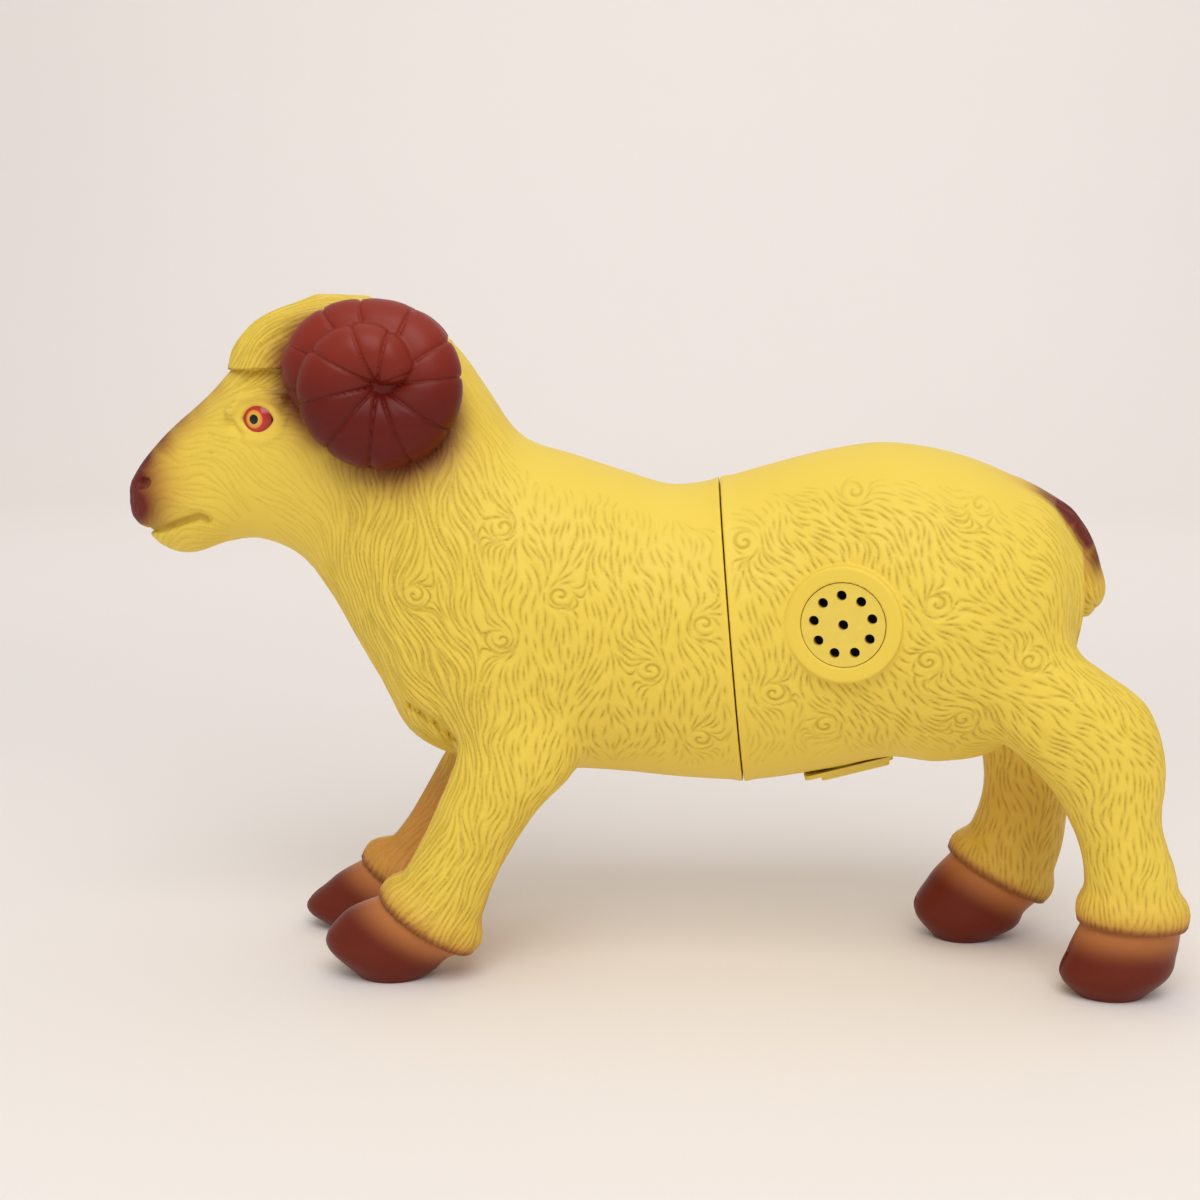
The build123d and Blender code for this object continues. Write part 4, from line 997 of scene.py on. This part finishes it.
def front_paint(points, normals):
    """Paint values of the front half, and the painted shade along its mouth."""
    horn = np.maximum(horns_field(*points.T), 0)
    above_lip = smooth_step(LIP_HEIGHT - LIP_FADE, LIP_HEIGHT + LIP_FADE, points[:, 2])
    horn_brown = HORN_BROWN * np.exp(-((horn / HORN_PAINT) ** 2))
    brown = np.maximum(above_lip * spots(points, NOSE_SPOTS), horn_brown)
    along, _, up = eye_axes(*points.T)
    brown = brown * smooth_step(*EYE_CLEAR, np.hypot(along, up))
    haze = np.maximum(above_lip * spots(points, NOSE_HAZE), HORN_HAZE * np.exp(-horn / HORN_PAINT))
    leg_haze, leg_dark = leg_paint(points, normals, FRONT_LEGS)
    orange = np.maximum(leg_haze, haze)
    brown = np.maximum(brown, leg_dark)
    # Painted shade along the mouth's groove, kept as a value that darkens the wool there.
    mouth = np.exp(-((line_distance(points[:, 0], points[:, 2], MOUTH) / MOUTH_SHADE) ** 2))
    return {"brown": brown, "orange": orange, "mouth": mouth * (points[:, 0] < MOUTH[-1][0])}


def rear_plain(points, normals):
    """Where the rear half has no strokes."""
    behind = seam_distance(points[:, 0], points[:, 2])
    plain = 1 - smooth_step(*SEAM_PLAIN, behind)
    back = smooth_step(*BACK_PLAIN, normals[:, 2]) * smooth_step(*REAR_BACK, points[:, 0])
    belly = smooth_step(*BELLY_PLAIN, -normals[:, 2]) * smooth_step(*REAR_BELLY, points[:, 2])
    boss = np.linalg.norm(points - np.array(BOSS_CENTRE), axis=1)
    return np.maximum.reduce([plain, back, belly, 1 - smooth_step(*BOSS_PLAIN, boss)])


def rear_paint(points, normals):
    """Paint values of the rear half."""
    facing = smooth_step(*TAIL_FACING, (normals[:, 0] + normals[:, 2]) / math.sqrt(2))
    middle = 1 - smooth_step(*TAIL_SIDES, np.abs(points[:, 1]))
    brown = spots(points, TAIL_SPOTS) * facing * middle
    haze, dark = leg_paint(points, normals, REAR_LEGS)
    orange = np.maximum(haze, middle * spots(points, TAIL_HAZE))
    return {"brown": np.maximum(brown, dark), "orange": orange}


# Small pieces
def make_horn(name, mirror, scale, forward, material):
    """Horn skin; the right one is the left one mirrored and moved forward."""
    grid = Grid(*HORN_BOX, SMALL_SPACING)
    field = horn_field(grid.x, grid.y, grid.z)
    points, quads = grid.surface(field)
    # Painted highlight: the horn's colour gets lighter towards its top.
    top = smooth_step(*HORN_HIGHLIGHT_HEIGHTS, points[:, 2])
    middle = np.array([HORN_CENTRE[0], 0, HORN_CENTRE[1]])
    points = middle + (points - middle) * np.array([scale, mirror, scale]) - np.array([forward, 0, 0])
    horn = add_mesh(name, points, outward(points, quads), {"top": top})
    finish_piece(horn, "front_half", material, name.replace("_ribbed", ""))


def make_hoof(leg, body, material):
    """Cloven hoof skin with paint that darkens towards the toe."""
    upper, lower, width, side = LEGS[leg][-1]
    shrink = 1 - 2 * CREASE_STEP / math.dist(upper, lower)
    middle = ((upper[0] + lower[0]) / 2, (upper[1] + lower[1]) / 2)
    crease = [tuple(centre + (value - centre) * shrink for value, centre in zip(end, middle))
              for end in (upper, lower)]
    stations = [(*crease, width - CREASE_STEP, side)] + [(*station, side) for station in HOOVES[leg]]
    points, quads = form(stations)
    low = points.min(axis=0)
    high = points.max(axis=0)
    grid = Grid(low - HOOF_MARGIN, high + HOOF_MARGIN, SMALL_SPACING)
    field = grid.distance(points, quads)
    slot = np.maximum(np.abs(grid.y - side) - CLEFT_WIDTH / 2, grid.x - low[0] - CLEFT_LENGTH)
    field = smooth_max(field, -np.maximum(slot, grid.z - CLEFT_HEIGHT), CLEFT_EDGE)
    points, quads = grid.surface(field)
    points[:, 2] = np.maximum(points[:, 2], 0)
    toe = smooth_step(0, TOE_PAINT, hem_distance(points, leg))
    hoof = add_mesh(f"{leg}_hoof_cloven", points, outward(points, quads), {"toe": toe})
    finish_piece(hoof, body, material, f"{leg}_hoof")


def paint(piece, material):
    """Gives a piece one material."""
    piece.data.materials.clear()
    piece.data.materials.append(material)


def finish_piece(piece, body, material, node):
    """Rides a painted piece on a body in place of a CAD node."""
    paint(piece, material)
    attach(piece, body)
    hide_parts(node)


# Materials
def new_material(name, colour, roughness, metallic=0.0, shine=0.5):
    """Plain material, with its nodes and its shader."""
    material = bpy.data.materials.new(name)
    material.use_nodes = True
    shader = material.node_tree.nodes["Principled BSDF"]
    shader.inputs["Base Color"].default_value = (*colour, 1)
    shader.inputs["Roughness"].default_value = roughness
    shader.inputs["Metallic"].default_value = metallic
    shader.inputs["Specular IOR Level"].default_value = shine
    return material, material.node_tree, shader


def attribute(tree, name):
    """Output of a value kept at the points of a mesh."""
    node = tree.nodes.new("ShaderNodeAttribute")
    node.attribute_name = name
    return node.outputs["Fac"]


MIX_FACTOR = 0  # sockets of a mix node
MIX_COLOURS = (6, 7)
MIX_RESULT = 2


def mix_colour(tree, factor, first, second):
    """Colour between two, each given as an output or as a plain colour."""
    node = tree.nodes.new("ShaderNodeMix")
    node.data_type = "RGBA"
    tree.links.new(factor, node.inputs[MIX_FACTOR])
    for socket, value in zip(MIX_COLOURS, (first, second)):
        if isinstance(value, tuple):
            node.inputs[socket].default_value = (*value, 1)
        else:
            tree.links.new(value, node.inputs[socket])
    return node.outputs[MIX_RESULT]


def mottle(tree, scale, detail=3.0):
    """Cloudy noise fixed to the piece."""
    place = tree.nodes.new("ShaderNodeTexCoord")
    node = tree.nodes.new("ShaderNodeTexNoise")
    node.inputs["Scale"].default_value = scale
    node.inputs["Detail"].default_value = detail
    tree.links.new(place.outputs["Object"], node.inputs["Vector"])
    return node.outputs["Fac"]


def fine_bump(tree, shader, height, strength, distance):
    """Fine relief from a height."""
    node = tree.nodes.new("ShaderNodeBump")
    node.inputs["Strength"].default_value = strength
    node.inputs["Distance"].default_value = distance
    tree.links.new(height, node.inputs["Height"])
    tree.links.new(node.outputs["Normal"], shader.inputs["Normal"])


YELLOW = (0.86, 0.64, 0.085)
YELLOW_DEEP = (0.82, 0.59, 0.07)
# Darker yellow of the painted shade in the cuts and the mouth; in the cuts it is partly a darker wash.
CUT_SHADE_YELLOW = (0.56, 0.39, 0.035)
ORANGE = (0.58, 0.25, 0.045)
BROWN = (0.14, 0.012, 0.005)
HORN_DARK = (0.115, 0.0065, 0.003)
# Lighter horn colour of the painted highlight on its upper part.
HORN_HIGHLIGHT = (0.25, 0.025, 0.012)
HOOF_LIGHT = (0.50, 0.18, 0.05)
HOOF_DARK = (0.14, 0.016, 0.005)


def wool_material():
    """Yellow vinyl with painted shade in its cuts and mouth, and sprayed paint. The cuts' shade is partly
    a darker wash.
    """
    material, tree, shader = new_material("wool_vinyl", YELLOW, roughness=0.5, shine=0.3)
    colour = mix_colour(tree, mottle(tree, scale=25.0), YELLOW_DEEP, YELLOW)
    # cut and mouth darken the wool with painted shade, the cuts partly a darker wash; orange and brown are
    # sprayed paint.
    for label, coat in (("cut", CUT_SHADE_YELLOW), ("mouth", CUT_SHADE_YELLOW), ("orange", ORANGE), ("brown", BROWN)):
        colour = mix_colour(tree, attribute(tree, label), colour, coat)
    tree.links.new(colour, shader.inputs["Base Color"])
    fine_bump(tree, shader, mottle(tree, scale=900.0, detail=2.0), strength=0.12, distance=0.0003)
    return material


def satin_material(name, ground, label, first, second):
    """Satin paint that goes from one colour to another with a value kept at the points."""
    material, tree, shader = new_material(name, ground, roughness=0.4, shine=0.22)
    colour = mix_colour(tree, attribute(tree, label), first, second)
    tree.links.new(colour, shader.inputs["Base Color"])
    fine_bump(tree, shader, mottle(tree, scale=250.0), strength=0.08, distance=0.0004)
    return material


EYE_GROUND = (0.3, 0.02, 0.01)
EYE_RINGS = [(0.0, (0.005, 0.004, 0.004)), (0.27, (0.005, 0.004, 0.004)), (0.30, (0.75, 0.42, 0.06)),
             (0.50, (0.80, 0.30, 0.03)), (0.56, (0.55, 0.03, 0.015)), (1.0, (0.30, 0.012, 0.01))]
EYE_PAINT_RADIUS = 5.0
PUPIL_SHIFT = -0.9
EYE_RISE = 1.0


def eye_material(name, side, forward):
    """Glossy painted eye: black pupil, yellow ring and red ground."""
    material, tree, shader = new_material(name, EYE_GROUND, roughness=0.18)
    turn = math.radians(EYE_TURN)
    pupil_x = EYE_CENTRE[0] + PUPIL_SHIFT - forward * math.cos(turn)
    pupil_y = side * (EYE_CENTRE[1] + EYE_RISE - forward * math.sin(turn))
    place = tree.nodes.new("ShaderNodeTexCoord")
    away = tree.nodes.new("ShaderNodeVectorMath")
    away.operation = "DISTANCE"
    away.inputs[1].default_value = (pupil_x * MM, pupil_y * MM, EYE_CENTRE[2] * MM)
    scale = tree.nodes.new("ShaderNodeMath")
    scale.operation = "DIVIDE"
    scale.inputs[1].default_value = EYE_PAINT_RADIUS * MM
    ramp = tree.nodes.new("ShaderNodeValToRGB")
    stops = ramp.color_ramp.elements
    ready = len(stops)
    for index, (position, colour) in enumerate(EYE_RINGS):
        stop = stops[index] if index < ready else stops.new(position)
        stop.position = position
        stop.color = (*colour, 1)
    tree.links.new(place.outputs["Object"], away.inputs[0])
    tree.links.new(away.outputs["Value"], scale.inputs[0])
    tree.links.new(scale.outputs["Value"], ramp.inputs["Fac"])
    tree.links.new(ramp.outputs["Color"], shader.inputs["Base Color"])
    return material


def plain_material(name, colour, roughness, metallic=0.0, scale=400.0, grain=0.85):
    """Material with a little grain in its colour."""
    material, tree, shader = new_material(name, colour, roughness, metallic)
    darker = tuple(grain * channel for channel in colour)
    tree.links.new(mix_colour(tree, mottle(tree, scale), darker, colour), shader.inputs["Base Color"])
    return material


# Assembly
wool = wool_material()
for half, *functions in (
    ("front", front_fields, front_plain, front_paint),
    ("rear", rear_fields, rear_plain, rear_paint),
):
    skin = half_skin(f"{half}_skin", *functions)
    finish_piece(skin, f"{half}_half", wool, f"{half}_shell")

# The horn's top value mixes in its painted highlight.
horn_paint = satin_material("horn_paint", HORN_DARK, "top", HORN_DARK, HORN_HIGHLIGHT)
make_horn("left_horn_ribbed", mirror=1, scale=1.0, forward=0.0, material=horn_paint)
make_horn("right_horn_ribbed", mirror=-1, scale=RIGHT_HORN_SIZE, forward=horn_stagger, material=horn_paint)

hoof_paint = satin_material("hoof_paint", HOOF_DARK, "toe", HOOF_LIGHT, HOOF_DARK)
for leg in HOOVES:
    make_hoof(leg, "front_half" if leg in FRONT_LEGS else "rear_half", hoof_paint)

# Colour, roughness, metal share and nodes of the materials on CAD nodes
NODE_MATERIALS = {
    "grille_plastic": (YELLOW, 0.42, 0.0, ["sound_capsule", "battery_tray", "battery_door"]),
    "white_plastic": ((0.75, 0.73, 0.70), 0.5, 0.0, ["capsule_cover", "board_spacer"]),
    "black_plastic": ((0.02, 0.02, 0.02), 0.4, 0.0, ["sound_chip", "capacitor", "tilt_cap"]),
    "dark_foam": ((0.03, 0.03, 0.03), 0.9, 0.0, ["speaker_gasket"]),
    "plated_steel": ((0.62, 0.61, 0.58), 0.3, 1.0, [
        "capsule_screws", "speaker_frame", "speaker_yoke", "tilt_can", "tilt_ball", "button_cells",
        "contact_leaf", "contact_strip", "door_screw"]),
    "ferrite": ((0.03, 0.03, 0.035), 0.6, 0.0, ["speaker_magnet"]),
    "cone_film": ((0.02, 0.018, 0.016), 0.6, 0.0, ["speaker_cone"]),
    "copper": ((0.62, 0.28, 0.13), 0.35, 1.0, ["voice_coil", "speaker_leads"]),
    "board_laminate": ((0.35, 0.20, 0.06), 0.5, 0.0, ["circuit_board"]),
    "lead_insulation": ((0.42, 0.02, 0.015), 0.45, 0.0, ["battery_leads"]),
}
for name, (colour, roughness, metallic, nodes) in NODE_MATERIALS.items():
    material = plain_material(name, colour, roughness, metallic)
    for node in nodes:
        paint(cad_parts[node], material)
for eye, side, forward in (("left_eye", -1, 0.0), ("right_eye", 1, eye_stagger)):
    paint(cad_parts[eye], eye_material(f"{eye}_paint", side, forward))


# Stage, light and camera
FLOOR_COLOUR = (0.885, 0.835, 0.805)
FLOOR_FRONT = -2.0
FLOOR_BACK = 1.3
FLOOR_HALF_WIDTH = 4.0
WALL_HEIGHT = 2.5
BEND_RADIUS = 0.8
BEND_STEPS = 16
WORLD_COLOUR = (1.0, 0.97, 0.94)
WORLD_STRENGTH = 0.52


def add_stage():
    """Pale floor that bends up into a backdrop."""
    bend = [(FLOOR_BACK + BEND_RADIUS * math.sin(turn), BEND_RADIUS * (1 - math.cos(turn)))
            for turn in np.linspace(0, math.pi / 2, BEND_STEPS)]
    profile = [(FLOOR_FRONT, 0.0), *bend, (FLOOR_BACK + BEND_RADIUS, WALL_HEIGHT)]
    points = [(side * FLOOR_HALF_WIDTH, y, z) for y, z in profile for side in (-1, 1)]
    quads = [(2 * row, 2 * row + 1, 2 * row + 3, 2 * row + 2) for row in range(len(profile) - 1)]
    mesh = bpy.data.meshes.new("backdrop")
    mesh.from_pydata(points, [], quads)
    mesh.shade_smooth()
    paper = plain_material("backdrop_paper", FLOOR_COLOUR, roughness=0.9, scale=3.0, grain=0.98)
    mesh.materials.append(paper)
    backdrop = bpy.data.objects.new("backdrop", mesh)
    bpy.context.scene.collection.objects.link(backdrop)


def add_light(name, place, target, size, power):
    """Square soft light aimed at a point."""
    light = bpy.data.lights.new(name, "AREA")
    light.size = size
    light.energy = power
    lamp = bpy.data.objects.new(name, light)
    lamp.location = place
    lamp.rotation_euler = (Vector(target) - Vector(place)).to_track_quat("-Z", "Y").to_euler()
    bpy.context.scene.collection.objects.link(lamp)


def add_camera():
    """Camera at the photo's angle."""
    yaw = math.radians(CAMERA_YAW)
    pitch = math.radians(CAMERA_PITCH)
    target = Vector(CAMERA_TARGET) * MM
    away = Vector((math.sin(yaw) * math.cos(pitch), -math.cos(yaw) * math.cos(pitch), math.sin(pitch)))
    camera = bpy.data.cameras.new("camera")
    camera.sensor_width = CAMERA_SENSOR
    camera.lens = CAMERA_FOCAL_PIXELS / PHOTO_PIXELS * CAMERA_SENSOR
    holder = bpy.data.objects.new("camera", camera)
    holder.location = target + away * CAMERA_DISTANCE * MM
    holder.rotation_euler = (-away).to_track_quat("-Z", "Y").to_euler()
    bpy.context.scene.collection.objects.link(holder)
    bpy.context.scene.camera = holder


add_stage()
add_light("key", place=(0.1, -1.2, 1.45), target=(0, 0, 0.1), size=1.3, power=18.0)
add_light("top", place=(0.1, 0.2, 1.7), target=(0, 0, 0), size=1.6, power=4.0)
add_light("backdrop_wash", place=(0, 0.8, 1.6), target=(0, 2.1, 1.2), size=1.8, power=9.0)
add_camera()
world = bpy.data.worlds.new("studio")
world.use_nodes = True
background = world.node_tree.nodes["Background"]
background.inputs["Color"].default_value = (*WORLD_COLOUR, 1)
background.inputs["Strength"].default_value = WORLD_STRENGTH
bpy.context.scene.world = world
bpy.context.scene.view_settings.view_transform = "Standard"
